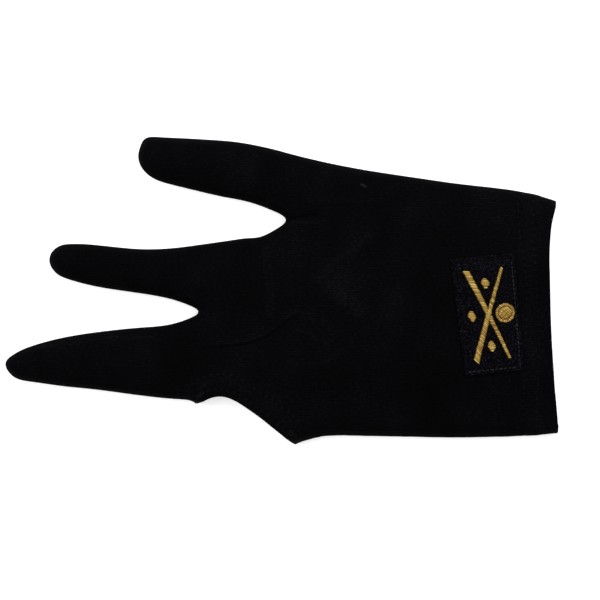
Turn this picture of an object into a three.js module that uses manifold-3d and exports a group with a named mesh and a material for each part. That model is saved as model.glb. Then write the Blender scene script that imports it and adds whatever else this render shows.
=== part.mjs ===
// Three-finger billiard glove for the left hand, lying palm down. Millimetres, +Z up.
// The fingers point along -X, the wrist is at +X and the thumb lies on the +Y side.
// The origin is the middle of the outline, on the surface that the glove lies on.
import * as THREE from 'three';
import { mergeVertices } from 'three/addons/utils/BufferGeometryUtils.js';
import Module from 'manifold-3d';

const wasm = await Module();
wasm.setup();

// Cloth
const clothThickness = 1;
const pieceGap = 0.3;
const cuffHemDepth = 13;
const openingHemDepth = 10;

// Heights of the slightly puffed form. The two panels are sewn together in the seam plane.
const seamHeight = 2.4;
const fingerRise = 4.6;
const palmRise = 3.5;
const backRounding = 6.5;
const palmRounding = 4;
const palmSlope = 30;

// Label and embroidery
const labelCentre = { x: 82, y: -9.8 };
const labelLength = 46.5;
const labelWidth = 24.5;
const labelTilt = THREE.MathUtils.degToRad(5.5);
const labelThickness = 1;
const threadHeight = 0.8;
const cueLength = 38;
const cueTip = 1.1;
const cueButt = 2.4;
const cueAngle = THREE.MathUtils.degToRad(21);
const ballRadius = 3.8;
const ballOffset = 6.6;
const ballSides = 18;
const lozengeLength = 5;
const lozengeWidth = 3.2;
const lozengePlaces = [
  { along: -12.5, across: 0 },
  { along: 12.5, across: 0 },
  { along: 0, across: -6.6 },
];

// Places where the outline changes from one sewn edge to the next
const fingerWeb = { x: -33.6, y: -8.6 };
const thumbWeb = { x: 1.4, y: 28 };
const mouthEnd = 5.4;
const cuffPlace = 107.6;
const cuffBendLength = 30;

// Each panel is parted across the knuckles at the thumb's web, into the hand, the fingers and the thumb.
const fingersEnd = thumbWeb.x - pieceGap / 2;
const handStart = thumbWeb.x + pieceGap / 2;

// Rows of the mesh: the distances of the first rows from a sewn edge, and the usual step between rows
const seamRows = [0.8, 2.5, 5.2];
const rowStep = 5;
const fingerCells = 8;
const rootShares = [0, 0.225, 0.575, 1];

function ease(t) {
  return THREE.MathUtils.smoothstep(t, 0, 1);
}

// Quarter circle: rises steeply from 0 and levels out at 1.
function roundOver(t) {
  const left = 1 - Math.min(t, 1);
  return Math.sqrt(1 - left * left);
}

// One edge of the outline: a row [x, y] for each measured place, with a smooth line through them.
function edge(...rows) {
  const places = rows.map(([x, y]) => ({ x, y }));
  const rise = (i) => (places[i + 1].y - places[i].y) / (places[i + 1].x - places[i].x);
  const last = places.length - 1;
  const slopes = places.map((place, i) => {
    if (i === 0) return rise(0);
    if (i === last) return rise(last - 1);
    const before = place.x - places[i - 1].x;
    const after = places[i + 1].x - place.x;
    return (rise(i - 1) * after + rise(i) * before) / (before + after);
  });
  return (x) => {
    let i = 0;
    while (i < last - 1 && x > places[i + 1].x) {
      i += 1;
    }
    const span = places[i + 1].x - places[i].x;
    const t = (x - places[i].x) / span;
    const s = 1 - t;
    return places[i].y * s * s * (1 + 2 * t) + places[i + 1].y * t * t * (1 + 2 * s)
      + span * t * s * (slopes[i] * s - slopes[i + 1] * t);
  };
}

// The outline, edge by edge. Rows are x, y.
const thumbOuter = edge(
  [-48.6, 60.9], [-32.6, 60.1], [-16.6, 58.8], [-4.6, 56.4], [7.4, 53.2], [23.4, 49.6],
  [47.4, 45.6], [63.4, 43.4], [86.8, 40.4], [93.9, 39.2], [101, 37.2], [107.6, 35.1],
);
const thumbInner = edge(
  [-48.6, 43.6], [-40.6, 41.5], [-24.6, 38], [-12.6, 35.4], [-4.6, 32.4], [-0.6, 30.4],
  [0.7, 29.3], [1.4, 28],
);
const indexUpper = edge(
  [-86.2, 18.2], [-80.6, 18.3], [-68.6, 17.2], [-56.6, 16.1], [-44.6, 16.4], [-32.6, 17.9],
  [-20.6, 19.6], [-10.6, 21], [-6.6, 21.1], [-4.6, 22.8], [-0.6, 25.4], [0.7, 26.6], [1.4, 28],
);
const indexLower = edge(
  [-86.2, 4.8], [-80.6, 3.1], [-72.6, 1.3], [-60.6, -0.5], [-48.6, -2.4], [-40.6, -4.4],
  [-36.6, -6.2], [-34.4, -7.4], [-33.6, -8.6],
);
const middleUpper = edge(
  [-100.6, -22.8], [-92.6, -20.4], [-80.6, -18], [-68.6, -16.4], [-56.6, -15.2], [-48.6, -14.7],
  [-45.4, -14.4], [-40.6, -13.3], [-36.6, -11.1], [-34.4, -10], [-33.6, -8.6],
);
const middleLower = edge(
  [-100.6, -36.3], [-88.6, -38.1], [-72.6, -39.6], [-56.6, -41.7], [-44.6, -43.2], [-37.4, -43.8],
  [-33.6, -45.5],
);
const openingMouth = edge(
  [-33.6, -45.5], [-31.6, -44], [-28.6, -42.8], [-24.6, -42], [-20.6, -42.8], [-16.6, -45.4],
  [-8.6, -50.8], [-0.6, -57.2], [3.4, -60.4], [5.4, -61.2],
);
const littleSide = edge(
  [5.4, -61.2], [7.4, -60.6], [11.4, -58.8], [15.4, -58], [47.4, -58], [63.4, -58.4], [79.4, -58.3],
  [93.8, -57.8], [100.9, -57.2], [107.6, -56.4],
);

// The wrist mouth's edge, for which the rows are y, x.
const cuffEdge = edge(
  [-56.4, 110.6], [-50, 109.8], [-38, 108.6], [-26, 107.8], [-14, 107.4], [2, 107], [14, 106.6],
  [22, 107], [28, 107.8], [35.1, 109.9],
);

// Finger tips, from the upper edge round to the lower one. Rows are x, y.
const thumbTip = [
  [-48.6, 60.9], [-52.2, 61.2], [-55, 60.5], [-56.3, 57.5], [-57.4, 53.7], [-56.5, 50], [-54.3, 47],
  [-51.6, 45], [-48.6, 43.6],
];
const indexTip = [
  [-86.2, 18.2], [-88.6, 17.6], [-90.8, 16.2], [-92.3, 14.2], [-92.8, 12], [-92.2, 9.6], [-90.6, 7.4],
  [-88.6, 5.8], [-86.2, 4.8],
];
const middleTip = [
  [-100.6, -22.8], [-103.8, -24.1], [-106.8, -25.7], [-109.2, -27.4], [-110.6, -29.3], [-109.5, -31.8],
  [-107.2, -34], [-104.2, -35.5], [-100.6, -36.3],
];

// Folds of the back panel. Each runs along a bent line and is a ridge, or a groove where high is negative.
const folds = [
  { name: 'thumb root ridge', from: [11, 0], over: [24, 15], to: [40, 25], high: 1, wide: 3.4 },
  { name: 'knuckle bulge', from: [19, -1], over: [24, -5], to: [33, -12], high: 0.9, wide: 5.5 },
  { name: 'finger root crease', from: [-30, -23], over: [-8, -21], to: [7, -8], high: -0.9, wide: 2.6 },
  { name: 'lip above the crease', from: [-28, -18], over: [-9, -15.5], to: [5, -3], high: 0.5, wide: 2.6 },
  { name: 'thumb web crease', from: [3, 27.5], over: [8, 28.5], to: [16, 30], high: -0.7, wide: 2.4 },
  { name: 'pull to the wrist', from: [4, 33.5], over: [25, 34.5], to: [46, 34.5], high: 0.4, wide: 2.6 },
  { name: 'short wrinkle', from: [2, -19.5], over: [9, -20.5], to: [16, -24], high: 0.5, wide: 2.6 },
  { name: 'long wrinkle', from: [1, -30], over: [18, -31], to: [26, -22], high: 0.5, wide: 3 },
  { name: 'swell before the label', from: [49, 1], over: [51, -12], to: [50, -25], high: 0.5, wide: 4.5 },
  { name: 'lift of the mouth', from: [-23, -41], over: [-14, -42], to: [-3, -55], high: 1.3, wide: 8 },
];

// Evenly spaced values from one end to the other, with the seam rows close to both ends. In a narrow
// finger the seam rows move together, and in a wide one the last of them moves in a little.
const usualWidth = 3 * seamRows[2];
const mostStretch = 1.5;

function spaced(from, to, cells) {
  const width = Math.abs(to - from);
  const shrink = Math.min(1, width / usualWidth);
  const stretch = THREE.MathUtils.clamp(width / usualWidth, 1, mostStretch);
  const near = [0, ...seamRows].map((row, i) => (row * shrink * (i === 3 ? stretch : 1)) / width);
  const middle = cells - 2 * seamRows.length;
  const even = Array.from({ length: middle - 1 }, (_, i) => {
    return THREE.MathUtils.lerp(near[3], 1 - near[3], (i + 1) / middle);
  });
  const shares = [...near, ...even, ...near.map((share) => 1 - share).reverse()];
  return shares.map((share) => THREE.MathUtils.lerp(from, to, share));
}

// Rows along X between two places: close together by a web, and a usual step apart elsewhere.
function stations(from, to, webAtStart, webAtEnd) {
  const start = webAtStart ? [0, ...seamRows] : [0];
  const end = webAtEnd ? [0, ...seamRows] : [0];
  const first = from + start[start.length - 1];
  const last = to - end[end.length - 1];
  const count = Math.max(1, Math.round((last - first) / rowStep));
  const even = Array.from({ length: count - 1 }, (_, i) => first + ((last - first) * (i + 1)) / count);
  return [...start.map((row) => from + row), ...even, ...end.map((row) => to - row).reverse()];
}

// A region of the outline is one finger, or two regions that have run together at a web. Its faces belong
// to one part of a panel.
const panelParts = { hand: [], fingers: [], thumb: [] };
const thumb = { cells: fingerCells, faces: panelParts.thumb };
const index = { cells: fingerCells, faces: panelParts.fingers };
const middle = { cells: fingerCells, faces: panelParts.fingers };
const knuckles = {
  cells: 2 * fingerCells, members: [index, middle], web: fingerWeb, faces: panelParts.fingers,
};
const palm = { cells: 3 * fingerCells, members: [thumb, knuckles], web: thumbWeb, faces: panelParts.hand };
const webFade = 28;

// Where the lengthwise lines of the mesh cross the row at x, from the upper edge to the lower one.
function columns(region, x, upper, lower) {
  const even = spaced(upper, lower, region.cells);
  if (!region.members) return even;
  const share = ease((x - region.web.x) / webFade);
  if (share === 1) return even;
  const [first, second] = region.members;
  const above = columns(first, x, upper, region.web.y);
  const below = columns(second, x, region.web.y, lower);
  return [...above, ...below.slice(1)].map((y, j) => THREE.MathUtils.lerp(y, even[j], share));
}

// The last rows bend with the wrist mouth's edge.
function bend(x, y) {
  const share = ease(1 - (cuffPlace - x) / cuffBendLength);
  return new THREE.Vector2(x + (cuffEdge(y) - cuffPlace) * share, y);
}

function row(region, x, upper, lower) {
  return columns(region, x, upper, lower).map((y) => bend(x, y));
}

// The cloth's plan: points in the plane. The faces between them run counter-clockwise.
const plan = { points: [], found: new Map() };

function planPoint(place) {
  const key = `${place.x.toFixed(4)} ${place.y.toFixed(4)}`;
  if (!plan.found.has(key)) {
    plan.found.set(key, plan.points.length);
    plan.points.push(place);
  }
  return plan.found.get(key);
}

function planStrip(faces, first, second) {
  const a = first.map(planPoint);
  const b = second.map(planPoint);
  for (let j = 0; j < a.length - 1; j += 1) {
    const corners = [a[j], b[j], b[j + 1], a[j + 1]];
    faces.push(corners.filter((corner, k) => corner !== corners[(k + 1) % 4]));
  }
}

function planRows(region, places, upperEdge, lowerEdge) {
  const rows = places.map((x) => row(region, x, upperEdge(x), lowerEdge(x)));
  for (let i = 0; i < rows.length - 1; i += 1) {
    planStrip(region.faces, rows[i + 1], rows[i]);
  }
  return rows;
}

// A finger tip: ribs fan out from the middle of the finger's first row to the places round the tip.
function planTip(faces, tip, firstRow) {
  const half = firstRow.slice(0, fingerCells / 2 + 1);
  const centre = half[half.length - 1];
  const length = half[0].distanceTo(centre);
  const shares = half.map((place) => place.distanceTo(half[0]) / length);
  const ribs = tip.map(([x, y]) => shares.map((share) => new THREE.Vector2(x, y).lerp(centre, share)));
  ribs[0] = half;
  ribs[ribs.length - 1] = firstRow.slice(fingerCells / 2).reverse();
  for (let i = 0; i < ribs.length - 1; i += 1) {
    planStrip(faces, ribs[i], ribs[i + 1]);
  }
}

function planFinger(region, tip, upperEdge, lowerEdge, end) {
  const rows = planRows(region, stations(tip[0][0], end, false, true), upperEdge, lowerEdge);
  planTip(region.faces, tip, rows[0]);
  return rows;
}

const thumbRows = planFinger(thumb, thumbTip, thumbOuter, thumbInner, fingersEnd);
planFinger(index, indexTip, indexUpper, indexLower, fingerWeb.x);
planFinger(middle, middleTip, middleUpper, middleLower, fingerWeb.x);
const knuckleStations = stations(fingerWeb.x, fingersEnd, true, true);
const rootStations = rootShares.map((share) => THREE.MathUtils.lerp(handStart, mouthEnd, share));
const palmStations = stations(mouthEnd, cuffPlace, false, false);
const knuckleRows = planRows(knuckles, knuckleStations, indexUpper, openingMouth);
const rootRows = planRows(palm, rootStations, thumbOuter, openingMouth);
const palmRows = planRows(palm, palmStations, thumbOuter, littleSide);

// The plan's border: edges with a face on one side only, each with that face on its left.
function borderEdges(faces) {
  const edges = new Map();
  for (const face of faces) {
    face.forEach((a, k) => {
      const b = face[(k + 1) % face.length];
      if (!edges.delete(`${b} ${a}`)) edges.set(`${a} ${b}`, [a, b]);
    });
  }
  return [...edges.values()];
}

// Its open edges are the wrist mouth, the ring and little finger mouth, and where the parts meet. The
// others are sewn.
const mouthRows = [...knuckleRows, ...rootRows];
const mouthLine = mouthRows.map((places) => places[places.length - 1]);
const cuffLine = palmRows[palmRows.length - 1];
const meetingLines = [thumbRows[thumbRows.length - 1], knuckleRows[knuckleRows.length - 1], rootRows[0]];
const openLines = [mouthLine, cuffLine, ...meetingLines].map((line) => new Set(line.map(planPoint)));
const isOpen = ([a, b]) => openLines.some((line) => line.has(a) && line.has(b));
const border = Object.values(panelParts).flatMap(borderEdges);
const sewn = border.filter((side) => !isOpen(side));
const open = border.filter(isOpen);

// How far a place in the plan is from the nearest sewn edge.
const sewnLines = sewn.map(([a, b]) => {
  const start = new THREE.Vector3(plan.points[a].x, plan.points[a].y, 0);
  const end = new THREE.Vector3(plan.points[b].x, plan.points[b].y, 0);
  return new THREE.Line3(start, end);
});

function fromSeam(x, y) {
  const place = new THREE.Vector3(x, y, 0);
  const nearest = new THREE.Vector3();
  let least = Infinity;
  for (const line of sewnLines) {
    line.closestPointToPoint(place, true, nearest);
    least = Math.min(least, nearest.distanceTo(place));
  }
  return least;
}

// A smoother depth into the cloth, without a ridge half-way between two seams. Beside one long straight
// seam it is the distance from it, and between two it is a little less than the distance from either.
const straightPull = Math.PI / 2;

function intoCloth(x, y) {
  const place = new THREE.Vector3(x, y, 0);
  const centre = new THREE.Vector3();
  const pull = sewnLines.reduce((sum, line) => {
    return sum + line.distance() / Math.max(line.getCenter(centre).distanceTo(place), 1) ** 4;
  }, 0);
  return Math.cbrt(straightPull / pull);
}

// Each fold as a few places along its bent line.
const foldSteps = 12;
const foldLines = folds.map(({ from, over, to, high, wide }) => {
  const ends = [from, over, to].map(([x, y]) => new THREE.Vector2(x, y));
  return { places: new THREE.QuadraticBezierCurve(...ends).getPoints(foldSteps), high, wide };
});

function foldHeight(x, y) {
  const place = new THREE.Vector2(x, y);
  return foldLines.reduce((sum, { places, high, wide }) => {
    const nearest = Math.min(...places.map((step) => step.distanceTo(place)));
    return sum + high * Math.exp(-((nearest / wide) ** 2));
  }, 0);
}

// Outer surface of the back panel, and of the palm panel, above the table.
function backHeight(x, y) {
  const inside = fromSeam(x, y);
  const start = seamHeight + pieceGap / 2;
  const finger = (fingerRise - pieceGap / 2) * roundOver(inside / backRounding);
  const hand = palmRise * ease((intoCloth(x, y) - backRounding) / palmSlope);
  return start + finger + hand + foldHeight(x, y) * ease(inside / palmRounding);
}

function palmHeight(x, y) {
  return (seamHeight - pieceGap / 2) * (1 - roundOver(fromSeam(x, y) / palmRounding));
}

// A place at some depth under an outer surface, measured square to it, towards the inside of the glove.
// On an open edge, the place keeps to that edge: fixed holds the directions that it may not move in.
function under(height, x, y, depth, fixed = []) {
  const probe = 0.3;
  const slopeX = (height(x + probe, y) - height(x - probe, y)) / (2 * probe);
  const slopeY = (height(x, y + probe) - height(x, y - probe)) / (2 * probe);
  const inwards = new THREE.Vector3(slopeX, slopeY, -1).normalize();
  if (height === palmHeight) inwards.negate();
  fixed.forEach((direction) => inwards.addScaledVector(direction, -inwards.dot(direction)));
  return new THREE.Vector3(x, y, height(x, y)).addScaledVector(inwards, depth);
}

// Directions in the plan at its border, square to each edge and inwards.
function leftOf([a, b]) {
  const along = plan.points[b].clone().sub(plan.points[a]).normalize();
  return new THREE.Vector2(-along.y, along.x);
}

function borderDirections(sides) {
  const directions = new Map();
  for (const side of sides) {
    for (const end of side) {
      if (!directions.has(end)) directions.set(end, []);
      directions.get(end).push(leftOf(side));
    }
  }
  return directions;
}

const sewnDirections = borderDirections(sewn);
const openDirections = borderDirections(open);
const mostMitre = 1.3;

function middleDirection(directions) {
  const sum = directions.reduce((total, one) => total.add(one), new THREE.Vector2());
  return sum.divideScalar(directions.length);
}

// How a point on a sewn edge moves for each millimetre of depth.
function sewnStep(i) {
  if (openDirections.has(i)) {
    const [a, b] = open.find((side) => side.includes(i));
    return plan.points[a === i ? b : a].clone().sub(plan.points[i]).normalize();
  }
  const mean = middleDirection(sewnDirections.get(i));
  return mean.normalize().multiplyScalar(Math.min(1 / mean.length(), mostMitre));
}

// The directions that a point on an open edge keeps to: square to the edge, or both at a corner.
const straightEnough = 0.95;

function openFixed(i) {
  const mean = middleDirection(openDirections.get(i));
  if (mean.length() < straightEnough) return [new THREE.Vector3(1, 0, 0), new THREE.Vector3(0, 1, 0)];
  return [new THREE.Vector3(mean.x, mean.y, 0).normalize()];
}

// One layer of a panel: every point of the plan, at some depth inside an outer surface.
function panelLayer(height, depth) {
  return plan.points.map(({ x, y }, i) => {
    if (sewnDirections.has(i)) {
      const step = sewnStep(i);
      return new THREE.Vector3(x + step.x * depth, y + step.y * depth, height(x, y));
    }
    return under(height, x, y, depth, openDirections.has(i) ? openFixed(i) : []);
  });
}

// A closed sheet between two layers that share their faces. The faces look out of the layer above, and
// only the points that they use are taken over.
function closedSheet(faces, above, below) {
  const used = [...new Set(faces.flat())];
  const numbers = new Map(used.map((corner, i) => [corner, i]));
  const roof = faces.map((face) => face.map((corner) => numbers.get(corner)));
  const floor = roof.map((face) => face.map((corner) => corner + used.length).reverse());
  const rim = borderEdges(roof).map(([a, b]) => [b, a, a + used.length, b + used.length]);
  const places = [above, below].flatMap((layer) => used.map((corner) => layer[corner]));
  const triangles = [...roof, ...floor, ...rim].flatMap((face) => {
    if (face.length === 3) return face;
    const [a, b, c, d] = face;
    const shortWay = places[a].distanceTo(places[c]) <= places[b].distanceTo(places[d]);
    return shortWay ? [a, b, c, a, c, d] : [a, b, d, b, c, d];
  });
  const geometry = new THREE.BufferGeometry().setFromPoints(places);
  geometry.setIndex(triangles);
  return geometry;
}

// Faces of a net of rows with the same number of points. A ring's rows close on themselves.
function netFaces(rowCount, length, ring) {
  const faces = [];
  for (let i = 0; i < rowCount - 1; i += 1) {
    for (let j = 0; j < (ring ? length : length - 1); j += 1) {
      const next = (j + 1) % length;
      faces.push([(i + 1) * length + j, i * length + j, i * length + next, (i + 1) * length + next]);
    }
  }
  return faces;
}

const backOuter = panelLayer(backHeight, 0);
const backInner = panelLayer(backHeight, clothThickness);
const palmOuter = panelLayer(palmHeight, 0);
const palmInner = panelLayer(palmHeight, clothThickness);

// The turned-in bands lie a gap inside the panels.
const hemOuter = clothThickness + pieceGap;
const hemInner = hemOuter + clothThickness;

// One loop round the inside of the wrist: over the back from the thumb side, then under the palm.
const cuffHemCells = 14;
const cuffHemRows = 3;

function cuffLoop(x, depth) {
  const along = new THREE.Vector3(1, 0, 0);
  const across = spaced(thumbOuter(x), littleSide(x), cuffHemCells).map((y) => bend(x, y));
  const inner = across.slice(1, -1);
  const corner = (place, side) => new THREE.Vector3(place.x, place.y + side * depth, seamHeight);
  return [
    corner(across[0], -1),
    ...inner.map((place) => under(backHeight, place.x, place.y, depth, [along])),
    corner(across[cuffHemCells], 1),
    ...inner.reverse().map((place) => under(palmHeight, place.x, place.y, depth, [along])),
  ];
}

function cuffHem() {
  const places = Array.from({ length: cuffHemRows + 1 }, (_, i) => {
    return cuffPlace - cuffHemDepth * (1 - i / cuffHemRows);
  });
  const layer = (depth) => places.flatMap((x) => cuffLoop(x, depth));
  return closedSheet(netFaces(places.length, 2 * cuffHemCells, true), layer(hemOuter), layer(hemInner));
}

// A strip along the ring and little finger mouth. It runs from the mouth's line into the hand.
const openingHemEnds = { from: -29.2, to: 1.6 };
const openingHemCells = 9;
const openingHemRows = [1, 0.6, 0.25, 0];

function openingHem(height) {
  const front = new THREE.Vector2(fingerWeb.x, openingMouth(fingerWeb.x));
  const rear = new THREE.Vector2(mouthEnd, openingMouth(mouthEnd));
  const run = rear.sub(front).normalize();
  const inwards = new THREE.Vector2(-run.y, run.x);
  const stay = new THREE.Vector3(inwards.x, inwards.y, 0);
  const places = Array.from({ length: openingHemCells + 1 }, (_, i) => {
    const x = THREE.MathUtils.lerp(openingHemEnds.from, openingHemEnds.to, i / openingHemCells);
    return new THREE.Vector2(x, openingMouth(x));
  });
  const layer = (depth) => places.flatMap((place) => openingHemRows.map((share) => {
    const spot = place.clone().addScaledVector(inwards, share * openingHemDepth);
    return under(height, spot.x, spot.y, depth, [stay]);
  }));
  const faces = netFaces(places.length, openingHemRows.length, false);
  if (height === palmHeight) return closedSheet(faces, layer(hemInner), layer(hemOuter));
  return closedSheet(faces, layer(hemOuter), layer(hemInner));
}

// Materials: near-black stretch knit, a satin-woven label and gold thread.
const knit = new THREE.MeshStandardMaterial({ color: 0x0b0b0d, roughness: 0.86, metalness: 0 });
const hemKnit = new THREE.MeshStandardMaterial({ color: 0x0f0f12, roughness: 0.88, metalness: 0 });
const labelWeave = new THREE.MeshStandardMaterial({ color: 0x0a0a14, roughness: 0.6, metalness: 0 });
const goldThread = new THREE.MeshStandardMaterial({ color: 0xc8962a, roughness: 0.5, metalness: 0.1 });

const glove = new THREE.Group();

function piece(name, geometry, material) {
  const mesh = new THREE.Mesh(geometry, material);
  mesh.name = name;
  mesh.updateMatrixWorld();
  return mesh;
}

for (const [part, faces] of Object.entries(panelParts)) {
  glove.add(piece(`back_${part}`, closedSheet(faces, backOuter, backInner), knit));
  glove.add(piece(`palm_${part}`, closedSheet(faces, palmInner, palmOuter), knit));
}
glove.add(
  piece('cuff_hem', cuffHem(), hemKnit),
  piece('opening_hem_back', openingHem(backHeight), hemKnit),
  piece('opening_hem_palm', openingHem(palmHeight), hemKnit),
);

// What lies on another piece takes its height from that piece's facets.
const down = new THREE.Vector3(0, 0, -1);
const wellAbove = 100;

function topOf(mesh, x, y) {
  const above = new THREE.Vector3(x, y, wellAbove);
  return new THREE.Raycaster(above, down).intersectObject(mesh)[0].point.z;
}

// The label's own directions: along is its long side towards the little finger, across is to the wrist.
const along = new THREE.Vector2(0, -1).rotateAround(new THREE.Vector2(), labelTilt);
const across = new THREE.Vector2(-along.y, along.x);

function onLabel(a, b) {
  const centre = new THREE.Vector2(labelCentre.x, labelCentre.y);
  return centre.addScaledVector(along, a).addScaledVector(across, b);
}

// A flat patch of the given outline that follows the mesh that it lies on.
function laidPatch(rows, mesh, thickness) {
  const layer = (lift) => rows.flat().map(({ x, y }) => {
    return new THREE.Vector3(x, y, topOf(mesh, x, y) + pieceGap + lift);
  });
  return closedSheet(netFaces(rows.length, rows[0].length, false), layer(thickness), layer(0));
}

const labelCells = { along: 10, across: 6 };
const labelRows = Array.from({ length: labelCells.across + 1 }, (_, i) => {
  return Array.from({ length: labelCells.along + 1 }, (__, j) => {
    const a = (j / labelCells.along - 0.5) * labelLength;
    const b = (i / labelCells.across - 0.5) * labelWidth;
    return onLabel(a, b);
  });
});
const backOfHand = glove.getObjectByName('back_hand');
const labelMesh = piece('label_patch', laidPatch(labelRows, backOfHand, labelThickness), labelWeave);
glove.add(labelMesh);

// A cue: a bar that tapers from its butt to its tip, crossing the label's middle at an angle.
const cueCells = 8;

function cue(angle) {
  const rows = Array.from({ length: cueCells + 1 }, (_, i) => {
    const place = (i / cueCells - 0.5) * cueLength;
    const half = THREE.MathUtils.lerp(cueButt, cueTip, i / cueCells) / 2;
    return [-half, half].map((side) => {
      const a = place * Math.cos(angle) - side * Math.sin(angle);
      const b = place * Math.sin(angle) + side * Math.cos(angle);
      return onLabel(a, b);
    });
  });
  return laidPatch(rows.map((pair) => pair.reverse()), labelMesh, threadHeight);
}

function toSolid(geometry) {
  geometry.deleteAttribute('normal');
  geometry.deleteAttribute('uv');
  const merged = mergeVertices(geometry);
  return new wasm.Manifold(new wasm.Mesh({
    numProp: 3,
    vertProperties: merged.attributes.position.array,
    triVerts: Uint32Array.from(merged.index.array),
  }));
}

function fromSolid(solid) {
  const { vertProperties, triVerts } = solid.getMesh();
  const geometry = new THREE.BufferGeometry();
  geometry.setAttribute('position', new THREE.BufferAttribute(vertProperties, 3));
  geometry.setIndex(new THREE.BufferAttribute(triVerts, 1));
  return geometry;
}

const crossedCues = fromSolid(toSolid(cue(cueAngle)).add(toSolid(cue(Math.PI - cueAngle))));

// The ball: a low round pad with a groove round its middle. Rows are shares of its radius and of the
// thread's height.
const ballProfile = [[0, 0], [1, 0], [1, 0.6], [0.85, 1], [0.6, 1], [0.5, 0.6], [0.3, 0.9], [0, 1]];

function ball() {
  const profile = ballProfile.map(([out, up]) => new THREE.Vector2(out * ballRadius, up * threadHeight));
  return new THREE.LatheGeometry(profile, ballSides);
}

function lozenge() {
  const shape = new THREE.Shape();
  shape.moveTo(-lozengeLength / 2, 0);
  shape.lineTo(0, -lozengeWidth / 2);
  shape.lineTo(lozengeLength / 2, 0);
  shape.lineTo(0, lozengeWidth / 2);
  return new THREE.ExtrudeGeometry(shape, { depth: threadHeight, bevelEnabled: false });
}

function stitched(name, geometry, a, b) {
  const mesh = piece(name, geometry, goldThread);
  const place = onLabel(a, b);
  mesh.position.set(place.x, place.y, topOf(labelMesh, place.x, place.y) + pieceGap);
  return mesh;
}

glove.add(piece('emblem_cues', crossedCues, goldThread));
glove.add(stitched('emblem_ball', ball().rotateX(Math.PI / 2), 0, ballOffset));
lozengePlaces.forEach((place, i) => {
  const mesh = stitched(`emblem_lozenge_${i + 1}`, lozenge(), place.along, place.across);
  mesh.rotation.z = labelTilt + Math.PI / 2;
  glove.add(mesh);
});

export default glove;
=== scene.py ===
# %% [markdown]
# A three-finger billiard glove, dressed in Blender.
#
# The glove is thin black stretch knit, sewn from two panels, with a woven label on its back. The packed
# CAD model gives every size and place. It is loaded first, and nothing in it is moved. Each cell below
# makes one piece of the real glove, in metres, in the same frame: fingers along -X, thumb on the +Y side.

# %% Load the frame
import math
from collections import namedtuple

import bmesh
import bpy
import numpy as np
from mathutils import Matrix, Vector, noise
from mathutils.bvhtree import BVHTree


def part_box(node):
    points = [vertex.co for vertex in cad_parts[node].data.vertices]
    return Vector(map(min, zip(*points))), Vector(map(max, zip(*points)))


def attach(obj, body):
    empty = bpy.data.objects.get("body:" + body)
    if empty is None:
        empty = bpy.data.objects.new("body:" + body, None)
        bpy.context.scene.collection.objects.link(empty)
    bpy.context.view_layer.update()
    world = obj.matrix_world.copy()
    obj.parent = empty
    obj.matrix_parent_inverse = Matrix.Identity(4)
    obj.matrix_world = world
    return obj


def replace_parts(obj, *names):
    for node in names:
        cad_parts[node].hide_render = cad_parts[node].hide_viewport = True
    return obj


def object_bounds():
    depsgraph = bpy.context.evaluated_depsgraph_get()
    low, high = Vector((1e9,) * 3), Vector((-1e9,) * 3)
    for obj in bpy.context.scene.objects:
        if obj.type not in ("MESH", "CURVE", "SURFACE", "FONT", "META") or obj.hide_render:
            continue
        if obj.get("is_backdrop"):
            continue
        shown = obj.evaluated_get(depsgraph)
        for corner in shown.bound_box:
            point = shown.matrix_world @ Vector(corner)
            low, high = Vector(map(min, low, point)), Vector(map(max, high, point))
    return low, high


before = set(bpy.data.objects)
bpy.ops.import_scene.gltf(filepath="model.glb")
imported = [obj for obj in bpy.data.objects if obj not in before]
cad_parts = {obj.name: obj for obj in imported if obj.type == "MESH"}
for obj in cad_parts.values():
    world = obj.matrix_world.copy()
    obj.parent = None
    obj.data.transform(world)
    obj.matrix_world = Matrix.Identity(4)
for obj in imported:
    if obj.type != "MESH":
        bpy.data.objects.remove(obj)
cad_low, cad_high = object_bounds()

MM = 0.001


def in_mm(*lengths):
    """Lengths in metres as rounded millimetres, to be printed."""
    return [round(float(length) / MM, 1) for length in lengths]


print("CAD box in mm:", in_mm(*cad_low, *cad_high))

# %% [markdown]
# The camera looks straight down, as the photograph does. 600 pixels cover 240 mm of table, so a long lens
# goes just high enough to see that much at the height of the glove's side seam.

# %% Camera
PHOTO_WIDTH = 240 * MM
PHOTO_CENTRE = Vector((7.4 * MM, -4 * MM, 0))
LENS = 120
SENSOR = 36
NEAREST_SEEN = 10 * MM
SEAM_Z = (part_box("back_hand")[0].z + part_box("palm_hand")[1].z) / 2


def new_object(name, data):
    """A new object in the scene, at the origin."""
    piece = bpy.data.objects.new(name, data)
    bpy.context.scene.collection.objects.link(piece)
    return piece


camera = new_object("camera", bpy.data.cameras.new("camera"))
camera.data.lens = LENS
camera.data.sensor_width = SENSOR
camera.data.clip_start = NEAREST_SEEN
camera.location = PHOTO_CENTRE + Vector((0, 0, SEAM_Z + PHOTO_WIDTH * LENS / SENSOR))
bpy.context.scene.camera = camera
print("camera height in mm:", in_mm(camera.location.z))

# %% [markdown]
# The floor is a white light table: it glows a little, so the glove's shadow nearly vanishes, as in the
# photo. The light is a bright room from all sides, and two soft lamps, the stronger one on the thumb's side,
# because a dark cloth shows its folds only where a light grazes them. Straight tones keep the cloth as
# black and the table as white as they are in the photograph.

# %% Floor and light
FLOOR_SIZE = 6
FLOOR_GAP = 0.05 * MM
FLOOR_GLOW = 0.5
ROOM_LIGHT = 0.68
WHITE = (1, 1, 1, 1)
SHADER = "Principled BSDF"


def new_material(name, settings):
    """A material whose shader has these fixed values."""
    material = bpy.data.materials.new(name)
    material.use_nodes = True
    for socket, value in settings.items():
        material.node_tree.nodes[SHADER].inputs[socket].default_value = value
    return material


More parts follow.
